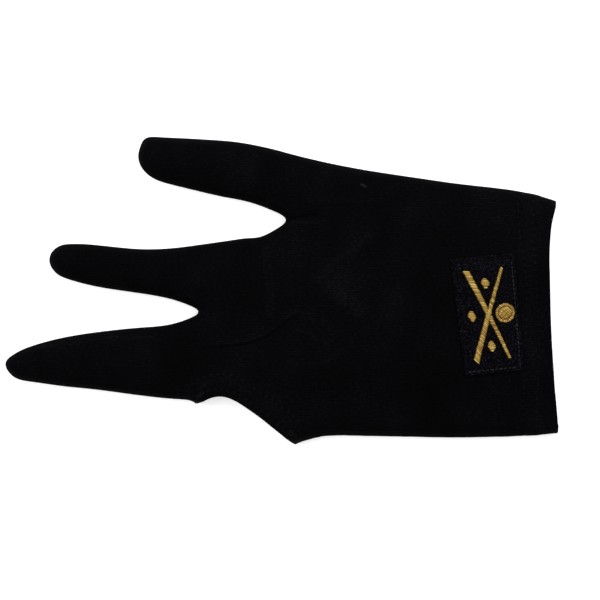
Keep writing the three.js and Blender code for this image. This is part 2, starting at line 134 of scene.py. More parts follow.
def soft_lamp(name, place, size, power):
    """A square area lamp that looks at the middle of the glove."""
    lamp = new_object(name, bpy.data.lights.new(name, "AREA"))
    lamp.data.size = size
    lamp.data.energy = power
    lamp.location = place
    lamp.rotation_euler = (-Vector(place)).to_track_quat("-Z", "Y").to_euler()


bpy.ops.mesh.primitive_plane_add(size=FLOOR_SIZE, location=(0, 0, -FLOOR_GAP))
floor = bpy.context.object
floor.name = "floor"
floor.data.materials.append(new_material("light_table", {
    "Base Color": (0.85, 0.85, 0.85, 1),
    "Roughness": 0.9,
    "Emission Color": WHITE,
    "Emission Strength": FLOOR_GLOW,
}))
floor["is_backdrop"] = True

world = bpy.data.worlds.new("bright_room")
world.use_nodes = True
room = world.node_tree.nodes["Background"].inputs
room["Color"].default_value = WHITE
room["Strength"].default_value = ROOM_LIGHT
bpy.context.scene.world = world
soft_lamp("key", place=(0.35, 0.95, 0.8), size=0.5, power=12.5)
soft_lamp("side", place=(-1.0, 0.2, 0.8), size=0.7, power=6)
bpy.context.scene.view_settings.view_transform = "Standard"
print("lamps:", [lamp.name for lamp in bpy.data.lights])

# %% [markdown]
# Operators act on whatever is selected, so every step first selects just what it needs. These small
# helpers do that by place or by normal, which works without a window.


# %% Helpers for operators
def only(piece):
    """Selects one object, and nothing else."""
    bpy.ops.object.select_all(action="DESELECT")
    piece.select_set(True)
    bpy.context.view_layer.objects.active = piece


def edit(piece):
    """Goes into edit mode on one piece, with everything selected."""
    only(piece)
    bpy.ops.object.mode_set(mode="EDIT")
    bpy.ops.mesh.select_all(action="SELECT")


def leave():
    """Goes back to object mode."""
    bpy.ops.object.mode_set(mode="OBJECT")


def pick(piece, elements, test):
    """In edit mode, selects the vertices or faces that pass a test, and nothing else."""
    bpy.ops.mesh.select_mode(type=elements)
    bpy.ops.mesh.select_all(action="DESELECT")
    mesh = bmesh.from_edit_mesh(piece.data)
    for part in mesh.verts if elements == "VERT" else mesh.faces:
        part.select_set(test(part))
    mesh.select_flush_mode()
    bmesh.update_edit_mesh(piece.data)


def join(pieces):
    """Joins all the pieces to the first one."""
    only(pieces[0])
    for piece in pieces:
        piece.select_set(True)
    bpy.ops.object.join()
    return pieces[0]


def apply_modifier(piece, kind, **settings):
    """Adds a modifier with these settings and applies it."""
    only(piece)
    modifier = piece.modifiers.new(kind.lower(), kind)
    for name, value in settings.items():
        setattr(modifier, name, value)
    bpy.ops.object.modifier_apply(modifier=modifier.name)


def places_of(mesh, what="vertices", field="co"):
    """Places or normals of a mesh as rows of numbers."""
    parts = getattr(mesh, what)
    values = np.zeros(len(parts) * 3)
    parts.foreach_get(field, values)
    return values.reshape(-1, 3)


def move_to(mesh, places):
    """Moves every point of a mesh to its row of numbers."""
    mesh.vertices.foreach_set("co", places.ravel())
    mesh.update()


# %% [markdown]
# A material is a small graph of nodes. What is the same all over is set on the shader's own sockets, and
# nodes feed only what changes over the surface. With these helpers such a graph is written as a formula:
# each sum, difference, product or quotient of two outputs becomes a Math node.


# %% Helpers for materials
class Output:
    """A node's output, which can be reckoned with like a number."""

    def __init__(self, socket):
        self.socket = socket

    def __add__(self, other):
        return calc("ADD", self, other)

    def __sub__(self, other):
        return calc("SUBTRACT", self, other)

    def __rsub__(self, other):
        return calc("SUBTRACT", other, self)

    def __mul__(self, other):
        return calc("MULTIPLY", self, other)

    def __truediv__(self, other):
        return calc("DIVIDE", self, other)

    __rmul__ = __mul__


def feed(socket, value):
    """Gives a socket a fixed value, or links a node's output to it."""
    if isinstance(value, Output):
        socket.id_data.links.new(value.socket, socket)
    else:
        socket.default_value = value


def add_node(material, kind, inputs, output=0, **settings):
    """Adds a node, feeds its inputs by name, and returns one of its outputs."""
    node = material.node_tree.nodes.new("ShaderNode" + kind)
    for name, value in settings.items():
        setattr(node, name, value)
    for name, value in inputs.items():
        feed(node.inputs[name], value)
    return Output(node.outputs[output])


def calc(operation, *values):
    """A Math node's output. At least one of the values is another node's output."""
    tree = next(value.socket.id_data for value in values if isinstance(value, Output))
    node = tree.nodes.new("ShaderNodeMath")
    node.operation = operation
    for socket, value in zip(node.inputs, values):
        feed(socket, value)
    return Output(node.outputs[0])


def fraction(amount):
    return calc("FRACT", amount)


def arches(amount):
    """An arch from 0 up to 1 and down again, for each whole step of an amount."""
    return calc("SINE", math.pi * fraction(amount))


def plan_of(material, place):
    """The X and the Y of a place, as two outputs."""
    return [add_node(material, "SeparateXYZ", {"Vector": place}, axis) for axis in "XY"]


def noise_on(material, places, grain, detail=2):
    """Noise whose grains have these sizes along the axes of the places, in their units."""
    scaled = add_node(material, "Mapping", {"Vector": places, "Scale": [1 / size for size in grain]})
    return add_node(material, "TexNoise", {"Vector": scaled, "Scale": 1, "Detail": detail}, "Fac")


def shades(amount, *stops):
    """Turns an amount from 0 to 1 into a colour, by a ramp of (place, colour) stops."""
    node = amount.socket.id_data.nodes.new("ShaderNodeValToRGB")
    ramp = node.color_ramp
    ramp.elements[0].position, ramp.elements[1].position = stops[0][0], stops[-1][0]
    for place, _ in stops[1:-1]:
        ramp.elements.new(place)
    for element, (_, colour) in zip(ramp.elements, stops):
        element.color = (*colour, 1)
    feed(node.inputs["Fac"], amount)
    return Output(node.outputs["Color"])


def dress(material, colour, height, depth):
    """Gives a material its colour, and presses a height from 0 to 1 into it, this many metres deep."""
    inputs = material.node_tree.nodes[SHADER].inputs
    feed(inputs["Base Color"], colour)
    feed(inputs["Normal"], add_node(material, "Bump", {"Height": height, "Distance": depth}))


# %% [markdown]
# The cloth of the back and of the palm starts as a copy of the CAD panels. Each panel is three thin closed
# shells that nearly meet at the thumb's web. Only their outer skin is wanted: the copies are joined, the
# faces that don't look out are deleted, and the triangles are joined to quads so that they subdivide
# evenly. Then each point on the line where the skins nearly meet is welded to its twin across the gap, and
# what is left of the walls between them is deleted.

# %% Copy the skin of each panel
PARTS = ("hand", "fingers", "thumb")
MERGE = 0.01 * MM
LOOKS_OUT = 0.2
PART_GAP = 0.3 * MM
MEETING_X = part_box("back_hand")[0].x - PART_GAP / 2
QUAD_ANGLE = math.radians(60)


def weld_parts(mesh):
    """Welds the fingers and the thumb to the hand, point by point along the line where they meet."""
    line = [v for v in mesh.verts if v.is_boundary and abs(v.co.x - MEETING_X) < PART_GAP]
    hand = [v for v in line if v.co.x > MEETING_X]
    others = [v for v in line if v.co.x < MEETING_X]
    twins = {v: min(hand, key=lambda twin: abs(twin.co.y - v.co.y)) for v in others}
    for vert in hand:
        vert.co.x = MEETING_X
    bmesh.ops.weld_verts(mesh, targetmap=twins)


def drop_hanging_faces(mesh):
    """Deletes the faces that hang on the skin by one edge."""
    hanging = [face for face in mesh.faces if sum(not e.is_boundary for e in face.edges) < 2]
    bmesh.ops.delete(mesh, geom=hanging, context="FACES")


def skin_of(panel, side):
    """The outer skin of a CAD panel as one new object. side is 1 for the back and -1 for the palm."""
    nodes = [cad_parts[f"{panel}_{part}"] for part in PARTS]
    skin = join([new_object(f"{panel}_cloth", node.data.copy()) for node in nodes])
    skin.data.materials.clear()
    edit(skin)
    bpy.ops.mesh.customdata_custom_splitnormals_clear()
    bpy.ops.mesh.remove_doubles(threshold=MERGE)
    pick(skin, "FACE", lambda face: face.normal.z * side < LOOKS_OUT)
    bpy.ops.mesh.delete(type="FACE")
    bpy.ops.mesh.select_all(action="SELECT")
    bpy.ops.mesh.tris_convert_to_quads(face_threshold=QUAD_ANGLE, shape_threshold=QUAD_ANGLE)
    mesh = bmesh.from_edit_mesh(skin.data)
    weld_parts(mesh)
    drop_hanging_faces(mesh)
    leave()
    print(skin.name, "has", len(skin.data.polygons), "faces")
    return skin


back, palm = skin_of("back", 1), skin_of("palm", -1)

# %% [markdown]
# The CAD outline is a smooth curve. The edge of the real glove wanders off it by up to a millimetre, and a
# subdivision surface will fill its two webs a little. So both skins are pushed at a few places. Each push
# has a name, a place, a shift and a reach, in mm. It is strongest at its place, and fades with distance.

# %% Push the outline
PUSHES = [
    ("thumb web", (0.6, 28.4), (0.9, -0.1), 4),
    ("web between the fingers", (-35, -9.6), (0.9, 0), 4),
    ("lower side of the thumb", (-24, 37.6), (0, -0.3), 8),
    ("tip of the middle finger", (-106, -34.6), (-0.3, -0.5), 4),
    ("lower side of the middle finger", (-62, -42.6), (0, -0.25), 16),
    ("root of the middle finger", (-42.6, -12.8), (0, 0.35), 3),
    ("edge of the mouth", (-13, -47.6), (0.1, 0.4), 9),
    ("front corner of the mouth", (-33.6, -45.5), (0, 0.5), 2),
    ("finger side of that corner", (-37, -44.2), (0, 0.45), 2.5),
    ("wrist side of that corner", (-31.2, -43.9), (0, -0.85), 2.6),
    ("notch in the thumb web", (-7, 22.4), (0.2, -0.5), 3),
    ("rear corner of the mouth", (8, -60.4), (0, -0.25), 3),
    ("wrist side of that corner", (11.8, -59), (0, 0.45), 3.5),
    ("little finger's side", (30, -57.6), (0, -0.55), 11),
    ("thumb's side near the cuff", (72, 42.4), (0, -0.25), 12),
    ("middle of the cuff", (107.6, -10), (-0.5, 0), 20),
    ("little finger's end of the cuff", (109.4, -46), (0.25, 0), 8),
]

for skin in (back, palm):
    for vert in skin.data.vertices:
        for _, place, shift, reach in PUSHES:
            distance = (vert.co.to_2d() / MM - Vector(place)).length / reach
            vert.co += Vector((*shift, 0)) * MM * math.exp(-distance**2)
print(len(PUSHES), "pushes")

# %% [markdown]
# A knit needs a UV map that lies on it as the cloth did before sewing, in metres, so that its ribs keep
# their width. This glove is nearly flat, so its plan is the map. Only where the cloth rounds down to a sewn
# edge is it longer than its plan: there it follows a quarter ellipse, and the map is pushed out by the
# difference between the arc and its plan.

# %% The flat pattern of the cloth
ARC_STEPS = 90


def arc_excess(plan, rise):
    """For each distance from a sewn edge, how much longer the rounding cloth is than its plan."""
    angles = np.linspace(0, math.pi / 2, ARC_STEPS + 1)
    distances = plan * (1 - np.cos(angles))
    steps = np.hypot(np.diff(distances), rise * np.diff(np.sin(angles)))
    left = np.append(np.cumsum(steps[::-1])[::-1], 0)
    return distances, left - (plan - distances)


BACK_ARC = arc_excess(plan=6.5 * MM, rise=4.45 * MM)
PALM_ARC = arc_excess(plan=4 * MM, rise=2.25 * MM)


def nearest_of(places, starts, ends):
    """Which straight line is nearest to each place, the share of it at the nearest point, and how far off."""
    which, shares = np.zeros(len(places), int), np.zeros(len(places))
    least = np.full(len(places), np.inf)
    for k, (start, end) in enumerate(zip(starts, ends)):
        run = end - start
        share = np.clip((places - start) @ run / (run @ run), 0, 1)
        distance = np.hypot(*(places - start - share[:, None] * run).T)
        closer = distance < least
        which[closer], shares[closer], least[closer] = k, share[closer], distance[closer]
    return which, shares, least


def flat_pattern(places, starts, ends, arc):
    """Where each place of the plan lies on the cloth before it is sewn."""
    which, shares, distance = nearest_of(places, starts, ends)
    nearest = starts[which] + shares[:, None] * (ends - starts)[which]
    out = (nearest - places) / np.maximum(distance, MERGE)[:, None]
    return places + out * np.interp(distance, *arc)[:, None]


print("at an edge, the cloth is longer than its plan by", *in_mm(BACK_ARC[1][0], PALM_ARC[1][0]), "mm")

# %% [markdown]
# A skin has three kinds of edge: the cuff, the side mouth, and the rest, which is sewn to the other panel.
# To finish them, it has to be known which way each edge faces, and where the surface is above or below any
# place of the plan. A ray from far off finds that.

# %% Find edges and surfaces
CUFF_FROM_X = 106.3 * MM
MOUTH_FROM_X = -33.6 * MM
MOUTH_TO_X = 5.4 * MM
MOUTH_TOP_Y = -41.5 * MM
NEAR = 0.1 * MM
RAY_FROM = 100 * MM


def ends_of(loop):
    return loop.vert, loop.link_loop_next.vert


def at_cuff(vert):
    return vert.co.x > CUFF_FROM_X


def at_mouth(vert):
    return MOUTH_FROM_X - NEAR < vert.co.x < MOUTH_TO_X + NEAR and vert.co.y < MOUTH_TOP_Y


def border_of(mesh):
    """The border edges, each as one of its face's loops: the cuff's, the side mouth's and the sewn ones."""
    cuff, mouth, sewn = [], [], []
    for edge in mesh.edges:
        if edge.is_boundary:
            loop = edge.link_loops[0]
            ends = ends_of(loop)
            kind = cuff if all(map(at_cuff, ends)) else mouth if all(map(at_mouth, ends)) else sewn
            kind.append(loop)
    return cuff, mouth, sewn


def outwards(loops):
    """For each vertex of some border edges, the direction in the plan that leads out of the cloth."""
    found = {}
    for loop in loops:
        start, end = ends_of(loop)
        along = (end.co - start.co).to_2d().normalized()
        middle = (start.co + end.co) / 2
        out = Vector((along.y, -along.x, 0))
        if out.dot(loop.face.calc_center_median() - middle) > 0:
            out.negate()
        for vert in (start, end):
            found[vert] = found.get(vert, Vector()) + out
    return {vert: out.normalized() for vert, out in found.items()}


def surface_of(piece, side):
    """Finds the outer surface above or below any place in the plan: the point there and its normal."""
    tree = BVHTree.FromObject(piece, bpy.context.evaluated_depsgraph_get())

    def surface(x, y):
        start = Vector((x, y, side * RAY_FROM))
        point, normal, _, _ = tree.ray_cast(start, Vector((0, 0, -side)))
        if point is None:
            point, normal, _, _ = tree.find_nearest(Vector((x, y, SEAM_Z)))
        return point, normal if normal.z * side > 0 else -normal

    return surface


# %% [markdown]
# The cloth is cut longer than the glove at its two mouths, and the extra is turned in as a hem. Each mouth's
# edge is carried on round a small half circle and then back along the inside of the panel. The glove is
# narrower further in, so the cuff's hem keeps its place between the two sewn edges beside it. Each new row
# of points also gets its place on the flat pattern: straight on, past the edge.

# %% Turn in the hems
FOLD_RADIUS = 0.85 * MM
FOLD_ANGLES = [math.radians(a) for a in (45, 90, 135, 180)]
CUFF_HEM = [3.2 * MM, 6.5 * MM, 9.8 * MM, 13 * MM]
MOUTH_HEM = [2.5 * MM, 5 * MM, 7.5 * MM, 10 * MM]
SIDES_FROM_Y = 30 * MM


def side_edges(sewn):
    """The sewn edges beside the cuff, as sorted tables of x and y: the thumb's side and the other one."""
    places = {vert.co.to_2d().freeze() for loop in sewn for vert in ends_of(loop)}
    behind = [tuple(p) for p in places if p.x > MOUTH_TO_X - NEAR]
    return [np.array(sorted(p for p in behind if p[1] * sign > SIDES_FROM_Y)) for sign in (1, -1)]


def further_in(base, depth, sides):
    """A place further from the cuff that keeps its share of the width between the two sewn edges."""
    upper, lower = (np.interp(base.x, *side.T) for side in sides)
    share = (base.y - lower) / (upper - lower)
    x = base.x - depth
    upper, lower = (np.interp(x, *side.T) for side in sides)
    return Vector((x, lower * (1 - share) + upper * share, 0))


def add_row(mesh, start, places, out, pattern):
    """Adds a line of vertices that starts at one vertex, and gives each its place on the flat pattern."""
    row = [start]
    length = 0
    for place in places:
        length += (place - row[-1].co).length
        row.append(mesh.verts.new(place))
        pattern[row[-1]] = pattern[start] + length * out.to_2d()
    return row


def bridge_rows(mesh, loops, rows):
    """Fills the cells between the rows that start at each border edge's two ends."""
    for loop in loops:
        first, second = (rows[vert] for vert in ends_of(loop))
        for k in range(len(first) - 1):
            mesh.faces.new((second[k], first[k], first[k + 1], second[k + 1]))


def turn_in(mesh, loops, depths, surface, pattern, sides=None):
    """Carries a mouth's edge round a half circle, and then inwards along the panel to each depth."""
    out = outwards(loops)
    corners = [v for v in out if sum(v in ends_of(loop) for loop in loops) == 1]
    middle = sum((v.co for v in out), Vector()) / len(out)
    rows = {}
    for vert, direction in out.items():
        edge = vert.co.copy()
        base = edge - direction * FOLD_RADIUS
        point, normal = surface(*base.to_2d())
        base.z = point.z
        if vert in corners:
            across = (middle - edge).to_2d().to_3d()
            normal = -(across - across.project(direction)).normalized()
            base.z = edge.z
        inwards = -(normal - normal.project(direction)).normalized()
        vert.co = base
        pattern[vert] -= direction.to_2d() * FOLD_RADIUS
        places = [
            base + direction * FOLD_RADIUS * math.sin(a) + inwards * FOLD_RADIUS * (1 - math.cos(a))
            for a in FOLD_ANGLES
        ]
        for depth in depths:
            spot = further_in(base, depth, sides) if sides else base - direction * depth
            point, over = surface(*spot.to_2d())
            if sides and vert in corners:
                point, over = Vector((*spot.to_2d(), edge.z)), normal
            places.append(point - over * 2 * FOLD_RADIUS)
        rows[vert] = add_row(mesh, vert, places, direction, pattern)
    bridge_rows(mesh, loops, rows)


# %% [markdown]
# Where the panels are sewn together, a narrow lip rolls in to the seam, so that the seam is a fine groove.
# The edge first goes out a little, by as much as its later rounding will draw it in. At a mouth's corners
# the two panels come closer together.

# %% Roll in the seams
SEAM_RISE = 0.45 * MM
SEAM_OVERLAP = 0.05 * MM
CORNER_RISE = 0.12 * MM
CORNER_CREASE = 0.85
LIP = 0.4 * MM
EDGE_OUT = 0.45 * MM
LITTLE_SIDE_Y = -50 * MM
LITTLE_SIDE_OUT = 0.35 * MM


def roll_in(mesh, loops, corners, side, pattern):
    """Lifts a sewn edge off the seam plane, and adds a lip that goes back to it."""
    rows = {}
    for vert, direction in outwards(loops).items():
        vert.co += direction * (EDGE_OUT + (LITTLE_SIDE_OUT if vert.co.y < LITTLE_SIDE_Y else 0))
        vert.co.z = SEAM_Z + side * (CORNER_RISE if vert in corners else SEAM_RISE)
        lip = vert.co - direction * LIP
        lip.z = SEAM_Z - side * SEAM_OVERLAP
        rows[vert] = add_row(mesh, vert, [lip], direction, pattern)
    bridge_rows(mesh, loops, rows)
    crease = mesh.verts.layers.float["crease_vert"]
    for vert in corners:
        vert[crease] = CORNER_CREASE


# %% [markdown]
# Now the edges of both skins are finished, first the seams and then the mouths, and the flat pattern is
# written as a UV map. The size that each cloth was cut to is read from it.

# %% Finish the edges of both skins
CLOTH_UV = "cloth"


def finish_edges(skin, side, arc):
    """Rolls in the sewn edges of a skin, turns in its mouths, and writes its flat pattern as a UV map."""
    surface = surface_of(skin, side)
    mesh = bmesh.new()
    mesh.from_mesh(skin.data)
    mesh.verts.layers.float.new("crease_vert")
    cuff, mouth, sewn = border_of(mesh)
    sides = side_edges(sewn)
    sewn_lines = [np.array([ends_of(loop)[k].co.to_2d() for loop in sewn]) for k in (0, 1)]
    plan = np.array([vert.co.to_2d() for vert in mesh.verts])
    flat = flat_pattern(plan, *sewn_lines, arc)
    pattern = {vert: Vector(place) for vert, place in zip(mesh.verts, flat)}
    for vert, direction in outwards(sewn).items():
        pattern[vert] += direction.to_2d() * arc[1][0]
    corners = outwards(sewn).keys() & outwards(cuff + mouth).keys()
    roll_in(mesh, sewn, corners, side, pattern)
    turn_in(mesh, cuff, CUFF_HEM, surface, pattern, sides)
    turn_in(mesh, mouth, MOUTH_HEM, surface, pattern)
    layer = mesh.loops.layers.uv.new(CLOTH_UV)
    for face in mesh.faces:
        for loop in face.loops:
            loop[layer].uv = pattern[loop.vert]
    mesh.to_mesh(skin.data)
    mesh.free()
    print(skin.name, "sewn, cuff and mouth edges:", len(sewn), len(cuff), len(mouth))
    return sewn_lines


def cut_of(skin):
    """The width, length and area of a cloth as it was cut, read from its flat pattern."""
    layer = skin.data.uv_layers[CLOTH_UV].uv
    area = 0
    for face in skin.data.polygons:
        corners = [layer[k].vector for k in face.loop_indices]
        area += abs(sum(a.cross(b) for a, b in zip(corners, corners[1:] + corners[:1]))) / 2
    length, width = np.ptp(np.array([spot.vector for spot in layer]), axis=0)
    print(skin.name, "was cut", *in_mm(width, length), "mm wide and long,", round(area, 5), "m2")
    return float(width), float(length), area


sewn_lines = finish_edges(back, 1, BACK_ARC)
finish_edges(palm, -1, PALM_ARC)
back_cut, palm_cut = cut_of(back), cut_of(palm)

# %% [markdown]
# Worn cloth keeps creases where the hand bends it, and every seam and stitch row pulls it in a little. On
# the real glove they are what catches the light, so each is drawn as a bent line in the plan, with its
# height and width. Left of a sharp crease, the cloth that is pushed aside stands up as a lip.

# %% Lines that the relief follows
LINE_STEP = 0.5 * MM
REACH = 15 * MM


def bent_line(*points):
    """A smooth line through points in mm, as closely spaced points in metres."""
    knots = [Vector(point) * MM for point in points]
    knots = [2 * knots[0] - knots[1], *knots, 2 * knots[-1] - knots[-2]]
    line = []
    for a, b, c, d in zip(knots, knots[1:], knots[2:], knots[3:]):
        steps = max(2, round((c - b).length / LINE_STEP))
        for t in np.arange(steps) / steps:
            line.append(b + (c - a) * t / 2 + (2 * a - 5 * b + 4 * c - d) * t**2 / 2
                        + (3 * b - a - 3 * c + d) * t**3 / 2)
    return np.array([*line, knots[-2]])


def lengths_along(line):
    """How far along a line each of its points is."""
    return np.insert(np.cumsum(np.hypot(*np.diff(line, axis=0).T)), 0, 0)


def measure_line(places, line):
    """How far each place is from a line, positive on its left, how far along it, and the line's length.

    Places out of reach count as endlessly far.
    """
    low, high = line.min(axis=0) - REACH, line.max(axis=0) + REACH
    near = np.flatnonzero(((places > low) & (places < high)).all(axis=1))
    which, share, least = nearest_of(places[near], line[:-1], line[1:])
    run, offset = np.diff(line, axis=0)[which], places[near] - line[which]
    distance, along = np.full(len(places), np.inf), np.zeros(len(places))
    distance[near] = least * np.sign(run[:, 0] * offset[:, 1] - run[:, 1] * offset[:, 0])
    lengths = lengths_along(line)
    along[near] = lengths[which] + share * np.hypot(*run.T)
    return distance, along, lengths[-1]


Fold = namedtuple("Fold", "name high wide lip line")
FOLDS = [Fold(*fold, bent_line(*points)) for *fold, points in (
    ("finger root crease", -0.52, 0.58, 0.42, [
        (-34, -23.4), (-24.6, -22.6), (-17, -21.9), (-11, -20.6), (-5.4, -18.2), (-0.6, -14.8), (3.4, -11.6),
        (9, -8.6)]),
    ("thumb web crease", -0.4, 0.55, 0, [(1.4, 27.6), (7.4, 28.9), (12, 29.6), (17, 29.8)]),
    ("streak under that crease", 0.25, 0.9, 0, [(3.2, 26.9), (9, 26.8), (16.6, 26.2)]),
    ("pull to the wrist", 0.2, 0.8, 0, [(8, 34.9), (24, 35), (40.6, 34.8)]),
    ("thumb root ridge", 0.3, 2, 0, [(12.6, 0.8), (18, 7.2), (22, 11.4), (26.6, 14.7), (35, 21), (41, 24.5)]),
    ("knuckle bulge", 0.45, 3.6, 0, [(16, 3), (21, -0.6), (27, -5.4), (34, -11)]),
    ("end of the crease", 0.25, 1.8, 0, [(2, -9.4), (7, -9.6), (11, -10.4), (15, -12), (20.6, -14)]),
    ("short wrinkle", 0.35, 0.9, 0, [(3, -16.6), (6.8, -16), (12, -17.6), (14.8, -22)]),
    ("crossing wrinkle", 0.3, 1, 0, [(15.4, -20.4), (18, -22), (20.2, -24)]),
    ("long wrinkle", 0.25, 1.4, 0, [(0.6, -29.6), (10, -29.4), (17.4, -28.8), (25.4, -22.4)]),
    ("dimpled strip", 0.25, 0.9, 0, [(2.6, -25.2), (6, -25), (10.6, -25.4)]),
    ("slant on the thumb side", 0.22, 2.4, 0, [(47, 23), (50.5, 31), (54.6, 36)]),
    ("seam inside the middle stall", 0.25, 0.9, 0, [
        (-99.8, -24.4), (-83, -21.6), (-66.6, -19.2), (-48.6, -18.8)]),
    ("mouth corner pull", 0.3, 1.2, 0, [(-33, -43), (-30.5, -38), (-26, -34)]),
    ("knuckle seam", 0.18, 1.5, 0, [(-6.2, 19), (-5.6, 8), (-4.6, 0), (-4.4, -12)]),
)]
KNUCKLE_SEAM = FOLDS[-1].line
print(len(FOLDS), "folds")

# %% [markdown]
# Both hems are held by two parallel rows of black stitches. The cuff's rows wander a little, as the photo
# shows. The mouth's rows run at a fixed distance inside its edge, so they are found by stepping inwards
# from it.

# %% Stitch rows
STITCH_PITCH = 2.7 * MM
MOUTH_ROW_DEPTHS = (3 * MM, 8.6 * MM)
ROW_FROM_SEAM = 1.2 * MM
MOUTH_EDGE = bent_line((-33.6, -45.5), (-31.6, -44), (-28.6, -42.8), (-24.6, -42), (-20.6, -42.8),
                       (-16.6, -45.4), (-8.6, -50.8), (-0.6, -57.2), (3.4, -60.4), (5.4, -61.2))
CUFF_LINES = [
    bent_line((94.3, 39), (94.3, 30), (95.2, 18), (96.5, 7.2), (97.2, -6), (96.8, -24), (96.1, -42),
              (95.8, -57.6)),
    bent_line((100.1, 37.4), (100.2, 25), (100.8, 7.2), (101.5, -6), (102.2, -20.4), (101.5, -42),
              (101.4, -57)),
]


def beside(line, distance):
    """The line that lies at some distance on the left of another one."""
    along = np.gradient(line, axis=0)
    along /= np.hypot(*along.T)[:, None]
    return line + distance * np.column_stack([-along[:, 1], along[:, 0]])


def off_the_seams(line):
    """The part of a line that keeps clear of the sewn edges."""
    return line[nearest_of(line, *sewn_lines)[2] > ROW_FROM_SEAM]


cuff_rows = [off_the_seams(line) for line in CUFF_LINES]
mouth_rows = [off_the_seams(beside(MOUTH_EDGE, depth)) for depth in MOUTH_ROW_DEPTHS]
stitch_lines = cuff_rows + mouth_rows
print("stitch rows:", in_mm(*(lengths_along(line)[-1] for line in stitch_lines)), "mm")

# %% [markdown]
# A subdivision surface rounds the coarse skin, and smooths the UV map with it. Its cells of about 1 mm are
# fine enough for broad folds. The narrow strips that carry a sharp crease, a stitch row or a puckered seam
# are divided once more.

# %% Round the cloth, and divide its narrow strips
LEVELS = 2
SHARP = 1.6 * MM
STRIP = 1.8 * MM


def in_a_strip(places, side):
    """Which places in the plan need small cells."""
    found = nearest_of(places, *sewn_lines)[2] < STRIP
    creases = [fold.line for fold in FOLDS if fold.wide * MM < SHARP] if side > 0 else []
    for line in creases + stitch_lines:
        found |= np.abs(measure_line(places, line)[0]) < STRIP
    return found


for skin, side in ((back, 1), (palm, -1)):
    apply_modifier(skin, "SUBSURF", levels=LEVELS, render_levels=LEVELS)
    whole = len(skin.data.polygons)
    centres = places_of(skin.data, "polygons", "center")
    facing = places_of(skin.data, "polygons", "normal")[:, 2] * side > LOOKS_OUT
    chosen = (in_a_strip(centres[:, :2], side) & facing).tolist()
    edit(skin)
    pick(skin, "FACE", lambda face: chosen[face.index])
    bpy.ops.mesh.subdivide(number_cuts=1)
    leave()
    print(skin.name, "has", whole, "faces after rounding, and", len(skin.data.polygons), "with its strips")

# %% [markdown]
# The relief is the sum of what the lines ask of the places near them. A fold is a rounded ridge or groove
# that fades out at both ends. Each stitch row lies in a groove, with a puff between each two needle holes.
# The cloth over a hem stands a little higher, and most of all between its two rows.

# %% Relief of the folds, rows and hems
FOLD_FADE = 4 * MM
LIP_ASIDE = 1.7
LIP_WIDE = 1.2
GROOVE = 0.3 * MM
GROOVE_WIDE = 0.65 * MM
HOLE_SHARE = 0.3
PUFF_HIGHLIGHT_AND_WEAR = 1.2
PUFF_WIDE = 0.6 * MM
BETWEEN_ROWS = 0.14 * MM
HEM_STEP = 0.16 * MM
STEP_WIDE = 0.8 * MM
HEM_MARGIN = 1.6 * MM
SWELL_SHARE = 1 / 3


def bell(distance, wide):
    """1 at no distance, and nearly 0 from twice the width on."""
    return np.exp(-((distance / wide) ** 2))


def ease(share):
    """A smooth step from 0 to 1."""
    share = np.clip(share, 0, 1)
    return share * share * (3 - 2 * share)


def fold_relief(plan, fold):
    """What one fold adds to the height of each place."""
    distance, along, length = measure_line(plan, fold.line)
    wide = fold.wide * MM
    height = fold.high * bell(distance, wide) + fold.lip * bell(distance - LIP_ASIDE * wide, LIP_WIDE * wide)
    return height * MM * ease(np.minimum(along, length - along) / FOLD_FADE)


def row_relief(plan, line):
    """The groove under a stitch row, deepest at needle holes, and painted highlight and wear on its puffs."""
    distance, along, _ = measure_line(plan, line)
    wave = np.cos(2 * math.pi * along / STITCH_PITCH)
    groove = -GROOVE * bell(distance, GROOVE_WIDE) * (1 - HOLE_SHARE + HOLE_SHARE * wave)
    return groove, PUFF_HIGHLIGHT_AND_WEAR * bell(distance, PUFF_WIDE) * np.maximum(-wave, 0) ** 2


def hem_relief(plan, edge, rows):
    """The step of a hem's end, and the swell between its two stitch rows."""
    depth = np.abs(measure_line(plan, edge)[0])
    step = HEM_STEP * ease((rows[1] + HEM_MARGIN - depth) / STEP_WIDE + 0.5)
    return step + BETWEEN_ROWS * bell(depth - sum(rows) / 2, (rows[1] - rows[0]) * SWELL_SHARE)


# %% [markdown]
# The relief is sculpted in code: every point moves along its normal by the sum. The sewn edges add the faint
# ridge of their seam allowance, with puckers, and slow noise keeps the rest from being perfectly flat. The
# palm lies on the table, so there the cloth may only move up, away from it. The same sum is kept as an
# attribute, which makes the material lighter where the cloth stands proud, on folds, and darker in creases
# and grooves: painted highlight and painted shade, with some wear on the ridges. The puffs of the stitch
# rows are painted lighter too, as highlight and wear. Beside the sewn edges the cloth gets painted shade.

# %% Sculpt the cloth
SEAM_SHADE = 1.3
SEAM_SHADE_WIDE = 2.2 * MM
ALLOWANCE = 0.14 * MM
ALLOWANCE_AT = 2.3 * MM
ALLOWANCE_WIDE = 0.9 * MM
PUCKER = 0.14 * MM
PUCKER_SIZE = 3.4 * MM
WAVES = [(0.24 * MM, 24 * MM), (0.07 * MM, 8 * MM)]
LYING_Z = 1 * MM
CUFF_EDGE = bent_line((109.9, 35.1), (107.8, 28), (107, 22), (106.6, 14), (107, 2), (107.4, -14),
                      (107.8, -26), (108.6, -38), (109.8, -50), (110.6, -56.4))
CUFF_ROW_DEPTHS = (5.5 * MM, 11.3 * MM)
DEEP = 0.5 * MM


def noise_at(places, size, seed):
    """Smooth noise from -1 to 1, whose hills are about as wide as the size."""
    shift = Vector((seed, -seed, seed / 2))
    return np.array([noise.noise(Vector(place) / size + shift) for place in places])


